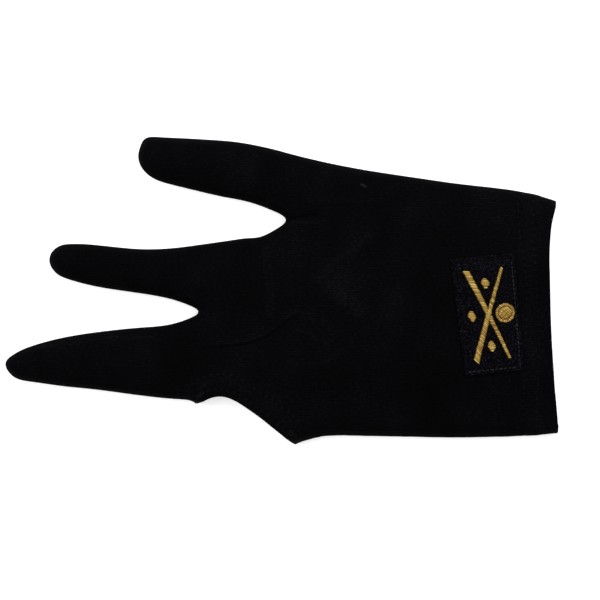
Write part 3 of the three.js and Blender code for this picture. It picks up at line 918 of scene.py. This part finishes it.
def sculpt(skin, side):
    """Moves the points of a skin by its relief, and writes down its wear and its painted light and shade."""
    mesh = skin.data
    places = places_of(mesh)
    normals = places_of(mesh, field="normal")
    plan = places[:, :2]
    from_seam = nearest_of(plan, *sewn_lines)[2]
    outer = ease(normals[:, 2] * side / LOOKS_OUT)
    relief = ALLOWANCE * bell(from_seam - ALLOWANCE_AT, ALLOWANCE_WIDE)
    relief += PUCKER * bell(from_seam - ALLOWANCE_AT, ALLOWANCE_AT) * noise_at(places, PUCKER_SIZE, side)
    inside = ease(from_seam / (2 * ALLOWANCE_AT))
    for k, (height, size) in enumerate(WAVES):
        relief += height * inside * noise_at(places, size, k + 5 * side)
    if side > 0:
        for fold in FOLDS:
            relief += fold_relief(plan, fold)
        for edge, rows in ((CUFF_EDGE, CUFF_ROW_DEPTHS), (MOUTH_EDGE, MOUTH_ROW_DEPTHS)):
            relief += hem_relief(plan, edge, rows)
    else:
        lying = ease((LYING_Z - places[:, 2]) / LYING_Z)
        relief = np.where(relief > 0, relief * (1 - lying), relief)
    # Painted shade: the cloth beside the sewn edges is made darker.
    painted_light_and_puff_wear = -SEAM_SHADE * bell(from_seam, SEAM_SHADE_WIDE)
    for line in stitch_lines:
        # The puffs of each row are painted lighter: painted highlight and wear.
        groove, puffs = row_relief(plan, line)
        relief += groove
        painted_light_and_puff_wear += puffs * outer
    # Lighter on raised relief, darker in grooves and by the seams: painted highlight, painted shade and wear.
    wear_and_painted_light = mesh.attributes.new("wear_and_painted_light", "FLOAT", "POINT")
    wear_and_painted_light.data.foreach_set("value", np.clip(relief * outer / DEEP, -1, 1) + painted_light_and_puff_wear)
    move_to(mesh, places + normals * (relief * outer)[:, None])
    print(skin.name, "has relief of", *in_mm(relief.min(), relief.max()), "mm")


sculpt(back, 1)
sculpt(palm, -1)

# %% [markdown]
# So far the cloth has no thickness. Solidify adds the inner wall, and closes the rim along the seams and the
# raw ends of the hems. A tight fold can push that wall through the table, so no point may lie below it.

# %% Give the cloth its thickness
CLOTH = 0.7 * MM
LEAST_Z = 0.02 * MM

for skin in (back, palm):
    apply_modifier(skin, "SOLIDIFY", thickness=CLOTH, offset=-1)
    places = places_of(skin.data)
    places[:, 2] = np.maximum(places[:, 2], LEAST_Z)
    move_to(skin.data, places)
    only(skin)
    bpy.ops.object.shade_smooth()
    print(skin.name, "measures", in_mm(*skin.dimensions), "mm, with", len(skin.data.polygons), "faces")

# %% [markdown]
# The cloth is a black stretch knit. Its loops stand in ribs that run along the fingers, 1 mm apart, and
# each loop is a small V. The pattern is written as heights on the flat cloth, so it follows every fold.
# The colour is nearly black with a hint of blue. It varies at random from loop to loop and in broad patches.
# Each loop's crest is painted lighter, as a highlight, and the brightest tone is a painted glint. Raised
# folds get painted highlight and wear, and creases, grooves and the cloth by the seams get painted shade.

# %% Black knit
WALE = 1.0 * MM
COURSE = 0.8 * MM
SLANT = 0.4
LOOP_DEPTH = 0.08 * MM
FUZZ_HEIGHT = 0.35
PAINTED_LIGHT_AND_WEAR_TONE = 0.16
GRAIN_TONE = 0.75
PATCH_TONE = 0.4
LOOP_HIGHLIGHT_TONE = 0.08
TONE_DROP = 0.23

knit = new_material("black_knit", {
    "Roughness": 0.75,
    "Specular IOR Level": 0.012,
    "Sheen Weight": 0.03,
    "Sheen Roughness": 0.35,
    "Sheen Tint": (0.75, 0.75, 1, 1),
})
flat_place = add_node(knit, "UVMap", {}, uv_map=CLOTH_UV)
place = add_node(knit, "TexCoord", {}, "Object")
u, v = plan_of(knit, flat_place)
from_rib = 2 * calc("ABSOLUTE", fraction(v / WALE) - 0.5)
rib = 1 - from_rib * from_rib
loop_height = rib * (0.5 * arches(u / COURSE + SLANT * from_rib) + 0.5)
grain = noise_on(knit, flat_place, grain=(1.3 * MM, 0.75 * MM, 1), detail=4)
fuzz = noise_on(knit, flat_place, grain=(0.25 * MM, 0.2 * MM, 1), detail=3)
patches = noise_on(knit, place, grain=(14 * MM, 18 * MM, 20 * MM), detail=3)
wear_and_painted_light = add_node(knit, "Attribute", {}, "Fac", attribute_name="wear_and_painted_light")
# The loop crests are painted lighter as a highlight, and the relief attribute adds painted light and wear.
tone = PAINTED_LIGHT_AND_WEAR_TONE * wear_and_painted_light + GRAIN_TONE * grain + PATCH_TONE * patches + LOOP_HIGHLIGHT_TONE * loop_height - TONE_DROP
black, cloth_black = (0.0006, 0.0006, 0.0008), (0.0014, 0.00135, 0.0018)
# The two lightest colours: wear with painted highlight, and at the top a painted glint.
rubbed_and_lit, glint = (0.0031, 0.0030, 0.0039), (0.0105, 0.0102, 0.0125)
tones = shades(tone, (0.2, black), (0.45, cloth_black), (0.62, rubbed_and_lit), (0.85, glint))
dress(knit, tones, FUZZ_HEIGHT * fuzz + loop_height, LOOP_DEPTH)
for skin in (back, palm):
    skin.data.materials.append(knit)
print("knit loops:", *in_mm(WALE, COURSE), "mm wide and long")

# %% [markdown]
# Each cloth is one piece that stands for its three CAD shells, and the hems are part of it.

# %% Say what each cloth stands for
for skin, panel, cut, below in ((back, "back", back_cut, [palm]), (palm, "palm", palm_cut, [])):
    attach(skin, "root")
    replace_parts(skin, *(f"{panel}_{part}" for part in PARTS), f"opening_hem_{panel}", "cuff_hem")

# %% [markdown]
# All visible threads, black or gold, are copies of one short strand: a six-sided bar whose ends grow thin
# and dip into the cloth, as a stitch does at its needle holes. A curve with a round profile would do too,
# but one small mesh that is copied keeps a thousand stitches light.

# %% Model one thread
THREAD_SIDES = 6
RINGS = (-0.36, -0.12, 0.12, 0.36)
NEAR_THE_END = 0.45
END_WIDTH = 0.7
END_DIP = 1

bpy.ops.object.select_all(action="DESELECT")
bpy.ops.mesh.primitive_cylinder_add(vertices=THREAD_SIDES, radius=1, depth=1, rotation=(0, math.pi / 2, 0))
thread = bpy.context.object
thread.name = "thread"
bpy.ops.object.transform_apply(rotation=True)
edit(thread)
for ring in RINGS:
    bpy.ops.mesh.select_all(action="SELECT")
    bpy.ops.mesh.bisect(plane_co=(ring, 0, 0), plane_no=(1, 0, 0))
pick(thread, "VERT", lambda vert: abs(vert.co.x) > NEAR_THE_END)
bpy.ops.transform.resize(value=(1, END_WIDTH, END_WIDTH))
bpy.ops.transform.translate(value=(0, 0, -END_DIP))
leave()
bpy.ops.object.shade_smooth()
print("one thread has", len(thread.data.polygons), "faces")

# %% [markdown]
# To lay a thread, its copy is stretched from one point to another, and turned so that its dipped ends point
# into the cloth. Each copy also gets a tone of its own, because no two stitches catch the light alike.

# %% Lay threads
Strand = namedtuple("Strand", "start end up thick tall tone")
stitch_tones = np.random.default_rng(11)


def strand(start, end, up, thick, tall=1):
    """A thread from start to end. tall stretches its height, for stitches that arch over padding."""
    return Strand(start, end, up, thick, tall, stitch_tones.uniform(0, 1))


def laid_strand(surface, spots, lift, thick, tall=1):
    """A thread between two spots of the plan, a little above a surface."""
    ends = []
    for spot in spots:
        point, normal = surface(*spot)
        ends.append(point + normal * lift)
    return strand(*ends, normal, thick, tall)


def lay_threads(name, strands, finish):
    """Copies the thread for each strand, and joins the copies to one piece."""
    copies = []
    for start, end, up, thick, tall, tone in strands:
        along = end - start
        side = up.cross(along).normalized()
        over = along.cross(side).normalized()
        placed = Matrix((along, side * thick, over * thick * tall)).transposed().to_4x4()
        placed.translation = (start + end) / 2
        mesh = thread.data.copy()
        mesh.transform(placed)
        mesh.attributes.new("tone", "FLOAT", "POINT").data.foreach_set("value", [tone] * len(mesh.vertices))
        copies.append(new_object(name, mesh))
    piece = join(copies)
    piece.data.materials.append(finish)
    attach(piece, "root")
    print(name, "has", len(strands), "threads and", len(piece.data.polygons), "faces")
    return piece


# %% [markdown]
# Sewing thread is smooth polyester, so it shines a little more than the knit. Its twist shows as slanting
# stripes, which follow the strand's own UV map: a bump, and a lighter colour on each ply's crest, which is
# a painted highlight.

# %% Thread materials
TWISTS = 4
TWIST_DEPTH = 0.05 * MM
LINT = 0.3 * MM
STRAND_TONE = 0.4
PLY_HIGHLIGHT_TONE = 0.35
LINT_TONE = 0.5
THREAD_DROP = 0.12


def thread_material(name, roughness, specular, *stops, metallic=0):
    """A twisted thread, whose ramp of colours is read by each strand's tone and its twist."""
    settings = {"Roughness": roughness, "Specular IOR Level": specular, "Metallic": metallic}
    material = new_material(name, settings)
    around, along = plan_of(material, add_node(material, "TexCoord", {}, "UV"))
    ply = arches(2 * around + 2 * TWISTS * along)
    tone = add_node(material, "Attribute", {}, "Fac", attribute_name="tone")
    lint = noise_on(material, add_node(material, "TexCoord", {}, "Object"), (LINT, LINT, LINT))
    # Each ply's crest is painted lighter: a painted highlight.
    amount = STRAND_TONE * tone + PLY_HIGHLIGHT_TONE * ply + LINT_TONE * lint - THREAD_DROP
    dress(material, shades(amount, *stops), ply, TWIST_DEPTH)
    print(name, "has", len(material.node_tree.nodes), "nodes")
    return material


black_thread = thread_material(
    "black_thread", 0.5, 0.03, (0.1, (0.0008, 0.0008, 0.001)), (0.55, (0.0022, 0.0022, 0.0028)),
    (0.95, (0.006, 0.006, 0.007)))

# %% [markdown]
# The hems' stitches lie in the grooves that were sculpted for them. Each row goes through one panel and its
# hem, so the palm has rows of its own.

# %% Stitch the hems
HEM_THREAD = 0.16 * MM
STITCH_SHARE = 0.76
SINK = 0.15
on_back = surface_of(back, 1)
on_palm = surface_of(palm, -1)


def spot_along(lengths, line, s):
    """The place in the plan at a distance along a line, whose points are as far along as the lengths say."""
    return [np.interp(s, lengths, line[:, axis]) for axis in (0, 1)]


def row_of_stitches(line, surface, thick, pitch=STITCH_PITCH, share=STITCH_SHARE):
    """Strands along a line of the plan, laid on a surface."""
    lengths = lengths_along(line)
    strands = []
    for k in range(int(lengths[-1] / pitch)):
        ends = (k + (1 - share) / 2, k + (1 + share) / 2)
        spots = [spot_along(lengths, line, s * pitch) for s in ends]
        strands.append(laid_strand(surface, spots, thick * SINK, thick))
    return strands


for name, lines in (("cuff_stitches", cuff_rows), ("mouth_stitches", mouth_rows)):
    strands = []
    for line in lines:
        for surface in (on_back, on_palm):
            strands += row_of_stitches(line, surface, HEM_THREAD)
    lay_threads(name, strands, black_thread)

# %% [markdown]
# Where the mouth's hem meets the side seam, a bar tack takes the strain: stitches go to and fro over each
# other, closer at one end. At the wrist's end its thread is olive-grey, the one spot of another colour on
# the cloth. At the fingers' end it is black.

# %% Tack the corners of the mouth
TACK_THREAD = 0.17 * MM
TACK_STITCHES = 26
TACK_HALF = 1.3 * MM
TACK_SLIP = 0.3 * MM
TACK_LIFT = 0.6
TACK_CROWDING = 1.3

olive_thread = thread_material(
    "olive_thread", 0.55, 0.03, (0.1, (0.0006, 0.0006, 0.0005)), (0.55, (0.002, 0.002, 0.0015)),
    (0.95, (0.007, 0.0069, 0.0054)))
tack_places = np.random.default_rng(3)


def tack(name, start, end, half, finish):
    """A bar of stitches between two places of the plan, in mm."""
    start, end = Vector(start) * MM, Vector(end) * MM
    run = end - start
    side = Vector((-run.y, run.x)).normalized() * half
    strands = []
    for k in range(TACK_STITCHES):
        middle = start + run * (k / (TACK_STITCHES - 1)) ** TACK_CROWDING
        spots = [spot + Vector(tack_places.uniform(-TACK_SLIP, TACK_SLIP, 2))
                 for spot in (middle - side, middle + side)]
        strands.append(laid_strand(on_back, spots, TACK_THREAD * TACK_LIFT, TACK_THREAD))
    lay_threads(name, strands, finish)


tack("mouth_tack_wrist", (3, -56.6), (6.7, -59.8), TACK_HALF, olive_thread)
tack("mouth_tack_fingers", (-33.2, -42.6), (-30.8, -40.8), TACK_HALF / 2, black_thread)

# %% [markdown]
# A flat seam crosses the knuckles inside the glove. Only its fine zigzag comes through, as a speckled band.

# %% Stitch the knuckle seam
ZIGZAG_THREAD = 0.12 * MM
ZIGZAG_PITCH = 1.7 * MM
ZIGZAG_HALF = 1.8 * MM
ZIGZAG_SLIP = 0.35 * MM

zigzag_places = np.random.default_rng(7)
edges = [beside(KNUCKLE_SEAM, side * ZIGZAG_HALF) for side in (-1, 1)]
lengths = lengths_along(KNUCKLE_SEAM)
corners = []
for k, s in enumerate(np.arange(0, lengths[-1], ZIGZAG_PITCH / 2)):
    spot = spot_along(lengths, edges[k % 2], s) + zigzag_places.uniform(-ZIGZAG_SLIP, ZIGZAG_SLIP, 2)
    point, normal = on_back(*spot)
    corners.append((point + normal * (ZIGZAG_THREAD * SINK), normal))
strands = [strand(a, b, normal, ZIGZAG_THREAD) for (a, normal), (b, _) in zip(corners, corners[1:])]
lay_threads("knuckle_stitches", strands, black_thread)

# %% [markdown]
# The two panels are sewn together all round the fingers. From outside only a fine groove shows, crossed by
# the small slanting stitches that hold it. The seam stops a little before each corner of the two mouths.

# %% Stitch the side seams
SEAM_THREAD = 0.12 * MM
SEAM_PITCH = 2.6 * MM
SEAM_REACH = 0.5 * MM
SEAM_SLANT = 0.3 * MM
SEAM_INSET = 0.25 * MM
CORNER_CLEAR = 1.4 * MM

mouth_corners = np.array([line[k] for line in (MOUTH_EDGE, CUFF_EDGE) for k in (0, -1)])
strands = []
for start, end in zip(*sewn_lines):
    run = Vector(end - start)
    out = Vector((run.y, -run.x, 0)).normalized()
    half = run.to_3d().normalized() * SEAM_SLANT + Vector((0, 0, SEAM_REACH))
    count = max(1, round(run.length / SEAM_PITCH))
    for k in range(count):
        middle = Vector((*(Vector(start) + run * (k + 0.5) / count), SEAM_Z)) - out * SEAM_INSET
        if np.hypot(*(mouth_corners - middle.to_2d()).T).min() > CORNER_CLEAR:
            strands.append(strand(middle - half, middle + half, out, SEAM_THREAD))
lay_threads("side_seam_stitches", strands, black_thread)

# %% [markdown]
# The label is a woven patch with its edges turned under. It starts as a flat grid of its real size. Each
# point is then laid on the cloth below it, and a wall gives it its thickness. A groove is pressed in round
# its edge, where the border stitches hold it down.

# %% Lay the label on the cloth
LABEL_CENTRE = Vector((82, -9.8)) * MM
LABEL_LENGTH = 46.5 * MM
LABEL_WIDTH = 24.5 * MM
LABEL_TILT = math.radians(6)
LABEL_TAPER = 0.045
LABEL_CELL = 0.75 * MM
LABEL_GAP = 0.1 * MM
LABEL_THICK = 0.72 * MM
LABEL_BEVEL = 0.32 * MM
BEVEL_STEPS = 3
BEVEL_FROM = math.radians(40)
SMOOTH_TO = math.radians(50)
BORDER_INSET = 1.4 * MM
BORDER_GROOVE = 0.28 * MM
BORDER_GROOVE_WIDE = 0.6 * MM
along_label = Vector((math.sin(LABEL_TILT), -math.cos(LABEL_TILT)))
across_label = Vector((-along_label.y, along_label.x))


def label_width(a):
    """The label's share of its mean width, at a distance along it: it was stretched at the thumb's end."""
    return 1 - LABEL_TAPER * a / (LABEL_LENGTH / 2)


def on_label(a, b):
    """A place in the plan, from its distances along and across the label from its middle."""
    return LABEL_CENTRE + along_label * a + across_label * b * label_width(a)


def press_border(mesh):
    """Lowers the top of the label along its border."""
    places = places_of(mesh)
    shift = places[:, :2] - np.array(LABEL_CENTRE)
    along = shift @ np.array(along_label)
    from_end = LABEL_LENGTH / 2 - np.abs(along)
    from_side = LABEL_WIDTH / 2 - np.abs(shift @ np.array(across_label)) / label_width(along)
    depth = bell(np.minimum(from_end, from_side) - BORDER_INSET, BORDER_GROOVE_WIDE) * BORDER_GROOVE
    places[:, 2] -= depth * (places_of(mesh, field="normal")[:, 2] > 0)
    move_to(mesh, places)


bpy.ops.object.select_all(action="DESELECT")
bpy.ops.mesh.primitive_grid_add(
    x_subdivisions=round(LABEL_LENGTH / LABEL_CELL), y_subdivisions=round(LABEL_WIDTH / LABEL_CELL), size=1)
label = bpy.context.object
label.name = "woven_label"
edit(label)
bpy.ops.transform.resize(value=(LABEL_LENGTH, LABEL_WIDTH, 1))
leave()
for vert in label.data.vertices:
    plan = on_label(vert.co.x, vert.co.y)
    vert.co = (*plan, on_back(*plan)[0].z + LABEL_GAP)
apply_modifier(label, "SOLIDIFY", thickness=LABEL_THICK, offset=1)
apply_modifier(label, "BEVEL", width=LABEL_BEVEL, segments=BEVEL_STEPS, angle_limit=BEVEL_FROM)
press_border(label.data)
only(label)
bpy.ops.object.shade_smooth_by_angle(angle=SMOOTH_TO)
print("label:", in_mm(*label.dimensions), "mm,", len(label.data.polygons), "faces")

# %% [markdown]
# The label is woven in satin: most yarns of one direction float over four of the other, and only the
# binding points break the surface. On black that reads as tiny dots in blue and violet, brighter where a
# yarn catches the light.

# %% Woven label
YARN = 0.32 * MM
WEAVE_DEPTH = 0.07 * MM
BOUND_SHARE = 0.2
BOUND_DROP = 0.8
SPECK = 0.6 * MM
CLOUD = 3 * MM
DOT_TONE = 0.3
SPECK_TONE = 2.4
CLOUD_TONE = 0.3
WEAVE_DROP = 1.05

weave = new_material("label_weave", {
    "Roughness": 0.5,
    "Specular IOR Level": 0.015,
    "Sheen Weight": 0.003,
    "Sheen Roughness": 0.4,
})
u, v = plan_of(weave, add_node(weave, "UVMap", {}, uv_map=label.data.uv_layers[0].name))
warp, weft = LABEL_LENGTH / YARN * u, LABEL_WIDTH / YARN * v
order = calc("FLOOR", warp) + 2 * calc("FLOOR", weft)
bound = calc("LESS_THAN", fraction(BOUND_SHARE * (order + 0.5)), BOUND_SHARE)
yarn_top = arches(weft)
place = add_node(weave, "TexCoord", {}, "Object")
facing = add_node(weave, "SeparateXYZ", {"Vector": add_node(weave, "TexCoord", {}, "Normal")}, "Z")
dots = bound * arches(warp) * yarn_top * calc("MAXIMUM", facing, 0)
speck = noise_on(weave, place, (SPECK, SPECK, SPECK))
cloud = noise_on(weave, place, (CLOUD, CLOUD, CLOUD))
amount = DOT_TONE * dots + SPECK_TONE * speck + CLOUD_TONE * cloud - WEAVE_DROP
tones = shades(amount, (0.15, (0.0004, 0.0004, 0.0006)), (0.4, (0.0016, 0.00135, 0.0023)),
               (0.6, (0.004, 0.0033, 0.0058)), (0.95, (0.017, 0.0145, 0.025)))
dress(weave, tones, (1 - BOUND_DROP * bound) * yarn_top, WEAVE_DEPTH)
label.data.materials.append(weave)
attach(label, "root")
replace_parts(label, "label_patch")
print("label yarns:", *in_mm(YARN), "mm")

# %% [markdown]
# One row of thread runs round the label, a little inside its edge. On the wrist side and at the lower end
# it is grey, a painted highlight, and on the other two sides it is black like the other sewing.

# %% Sew the label's border
BORDER_THREAD = 0.26 * MM
BORDER_PITCH = 1.75 * MM
BORDER_SHARE = 0.8
HIGHLIT_SIDES = (1, 2)
on_label_top = surface_of(label, 1)

grey_thread = thread_material(
    "grey_thread", 0.45, 0.08, (0.1, (0.0026, 0.0026, 0.0033)), (0.55, (0.0095, 0.0095, 0.0108)),
    (0.95, (0.03, 0.03, 0.032)))
half_length, half_width = LABEL_LENGTH / 2 - BORDER_INSET, LABEL_WIDTH / 2 - BORDER_INSET
corners = [on_label(a * half_length, b * half_width) for a, b in ((-1, -1), (1, -1), (1, 1), (-1, 1))]
highlit_stitches, darker = [], []
for k, side in enumerate(zip(corners, corners[1:] + corners[:1])):
    row = row_of_stitches(np.array(side), on_label_top, BORDER_THREAD, BORDER_PITCH, BORDER_SHARE)
    # The grey sides are a painted highlight on the same row of thread.
    (highlit_stitches if k in HIGHLIT_SIDES else darker).extend(row)
lay_threads("label_border_highlit", highlit_stitches, grey_thread)
lay_threads("label_border_dark", darker, black_thread)

# %% [markdown]
# The emblem is embroidered in gold: two crossed cues, a ball and three lozenges. Real embroidery fills such
# shapes with satin stitch, strands that lie side by side across the shape. Here each strand is a thread of
# its own, slanted a little, and taller than wide, because the stitches lie over padding. Between each two
# lies a lower stitch of the padding, which closes the gap that would show the label. It is coloured darker,
# as painted shade in that gap.

# %% Embroidery helpers
GOLD_THREAD = 0.31 * MM
GOLD_PITCH = 0.72 * MM
GOLD_TALL = 1.7
GOLD_LIFT = 0.2 * MM
GOLD_SLIP = 0.12 * MM
PADDING_DROP = 0.1 * MM
PADDING_SHARE = 1.1
gold_places = np.random.default_rng(5)


def gold_strand(first, second, lift=0):
    """A gold thread between two places on the label, given along and across from its middle."""
    spots = [on_label(*(spot + gold_places.uniform(-GOLD_SLIP, GOLD_SLIP, 2))) for spot in (first, second)]
    return laid_strand(on_label_top, spots, GOLD_LIFT + lift, GOLD_THREAD, GOLD_TALL)


def with_shaded_padding(strands):
    """Adds a lower stitch between each two that lie side by side, darker as painted shade."""
    padding = []
    for a, b in zip(strands, strands[1:]):
        start, end = (a.start + b.start) / 2, (a.end + b.end) / 2
        inset = (end - start) * (1 - PADDING_SHARE) / 2
        drop = a.up * PADDING_DROP
        # Tone 0 makes the padding darker: painted shade between the strands.
        padding.append(Strand(start + inset - drop, end - inset - drop, a.up, GOLD_THREAD, GOLD_TALL, 0))
    return strands + padding


def turned(a, b, angle):
    """A place on the label, turned about its middle."""
    return (a * math.cos(angle) - b * math.sin(angle), a * math.sin(angle) + b * math.cos(angle))


gold = thread_material(
    "gold_thread", 0.4, 0.4, (0.08, (0.06, 0.022, 0.003)), (0.3, (0.18, 0.085, 0.01)),
    (0.55, (0.36, 0.225, 0.035)), (0.78, (0.58, 0.42, 0.09)), (1, (0.85, 0.72, 0.3)), metallic=0.25)

# %% [markdown]
# A cue is a long bar that tapers from its butt to its tip, with two dark rings where a stitch is left out.
# The second cue crosses over the first, so it is lifted in the middle.

# %% Embroider the cues
CUE_LENGTH = 38 * MM
CUE_BUTT = 2.4 * MM
CUE_TIP = 1.1 * MM
CUE_ANGLE = math.radians(21)
CUE_SLANT = 0.6
CUE_RINGS = (0.62, 0.68)
CROSSING = 1.6 * MM
CROSSING_LIFT = 0.45 * MM


def cue(angle, lift):
    """Satin stitches across a tapering bar, which may be lifted where it crosses the other one."""
    strands = []
    steps = round(CUE_LENGTH / GOLD_PITCH)
    for k in range(steps + 1):
        share = k / steps
        if any(abs(share - ring) < 0.5 / steps for ring in CUE_RINGS):
            continue
        place = (share - 0.5) * CUE_LENGTH
        half = (CUE_BUTT * (1 - share) + CUE_TIP * share) / 2
        ends = [turned(place + side * CUE_SLANT, side, angle) for side in (-half, half)]
        strands.append(gold_strand(*ends, lift * float(bell(place, CROSSING))))
    return with_shaded_padding(strands)


cues = cue(CUE_ANGLE, 0) + cue(math.pi - CUE_ANGLE, CROSSING_LIFT)
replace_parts(lay_threads("gold_cues", cues, gold), "emblem_cues")

# %% [markdown]
# The ball has a ring of short stitches round a field of longer ones, which all lie aslant. The lozenges
# are small enough for plain satin stitch.

# %% Embroider the ball and the lozenges
BALL_ACROSS = 6.6 * MM
BALL_RADIUS = 3.8 * MM
RING_WIDTH = 1.1 * MM
RING_SLANT = 0.12
FIELD_RADIUS = BALL_RADIUS - RING_WIDTH
FIELD_ANGLE = math.radians(38)
LOZENGE_LENGTH = 5 * MM
LOZENGE_WIDTH = 3.2 * MM
LOZENGE_END = 0.15 * MM
LOZENGE_SLANT = 0.25
LOZENGES = [(-12.5 * MM, 0), (12.5 * MM, 0), (0, -6.6 * MM)]


def on_ball(a, b, angle):
    a, b = turned(a, b, angle)
    return a, BALL_ACROSS + b


def ball():
    steps = round(2 * math.pi * (BALL_RADIUS - RING_WIDTH / 2) / GOLD_PITCH)
    ring = []
    for k in range(steps):
        angle = 2 * math.pi * k / steps
        ring.append(gold_strand(on_ball(FIELD_RADIUS, 0, angle), on_ball(BALL_RADIUS, 0, angle + RING_SLANT)))
    ring = with_shaded_padding(ring + ring[:1])
    del ring[steps]
    field = []
    rows = round(2 * FIELD_RADIUS / GOLD_PITCH)
    for k in range(1, rows):
        off = (k / rows - 0.5) * 2 * FIELD_RADIUS
        half = math.sqrt(FIELD_RADIUS**2 - off**2)
        field.append(gold_strand(*(on_ball(s, off, FIELD_ANGLE) for s in (-half, half))))
    return ring + with_shaded_padding(field)


def lozenge(a, b):
    strands = []
    steps = round(LOZENGE_LENGTH / GOLD_PITCH)
    for k in range(1, steps):
        place = (k / steps - 0.5) * LOZENGE_LENGTH
        half = LOZENGE_WIDTH / 2 * (1 - abs(place) / (LOZENGE_LENGTH / 2)) + LOZENGE_END
        ends = [(a + place + side * LOZENGE_SLANT, b + side) for side in (-half, half)]
        strands.append(gold_strand(*ends))
    return with_shaded_padding(strands)


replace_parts(lay_threads("gold_ball", ball(), gold), "emblem_ball")
for k, place in enumerate(LOZENGES, 1):
    piece = lay_threads(f"gold_lozenge_{k}", lozenge(*place), gold)
    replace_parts(piece, f"emblem_lozenge_{k}")

# %% [markdown]
# Beside the thumb's seam lies one short pale stroke on the back, three grey threads wide.

# %% Lay a pale stroke by the thumb's seam
STROKE_THREAD = 0.095 * MM
STROKE_LINES = [((31.4, 42.4), (34.1, 40.8)), ((31.2, 42.1), (33.6, 40.6)), ((32, 42.3), (34.2, 41))]

strands = [laid_strand(on_back, [Vector(spot) * MM for spot in line], STROKE_THREAD * SINK, STROKE_THREAD)
           for line in STROKE_LINES]
lay_threads("pale_stroke_by_thumb_seam", strands, grey_thread)

# %% [markdown]
# The thread was only a pattern to copy, so it is removed. Then the boxes of the CAD and of what was built are
# found.

# %% Finish
bpy.data.objects.remove(thread)
corners = (cad_low, cad_high, *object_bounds())
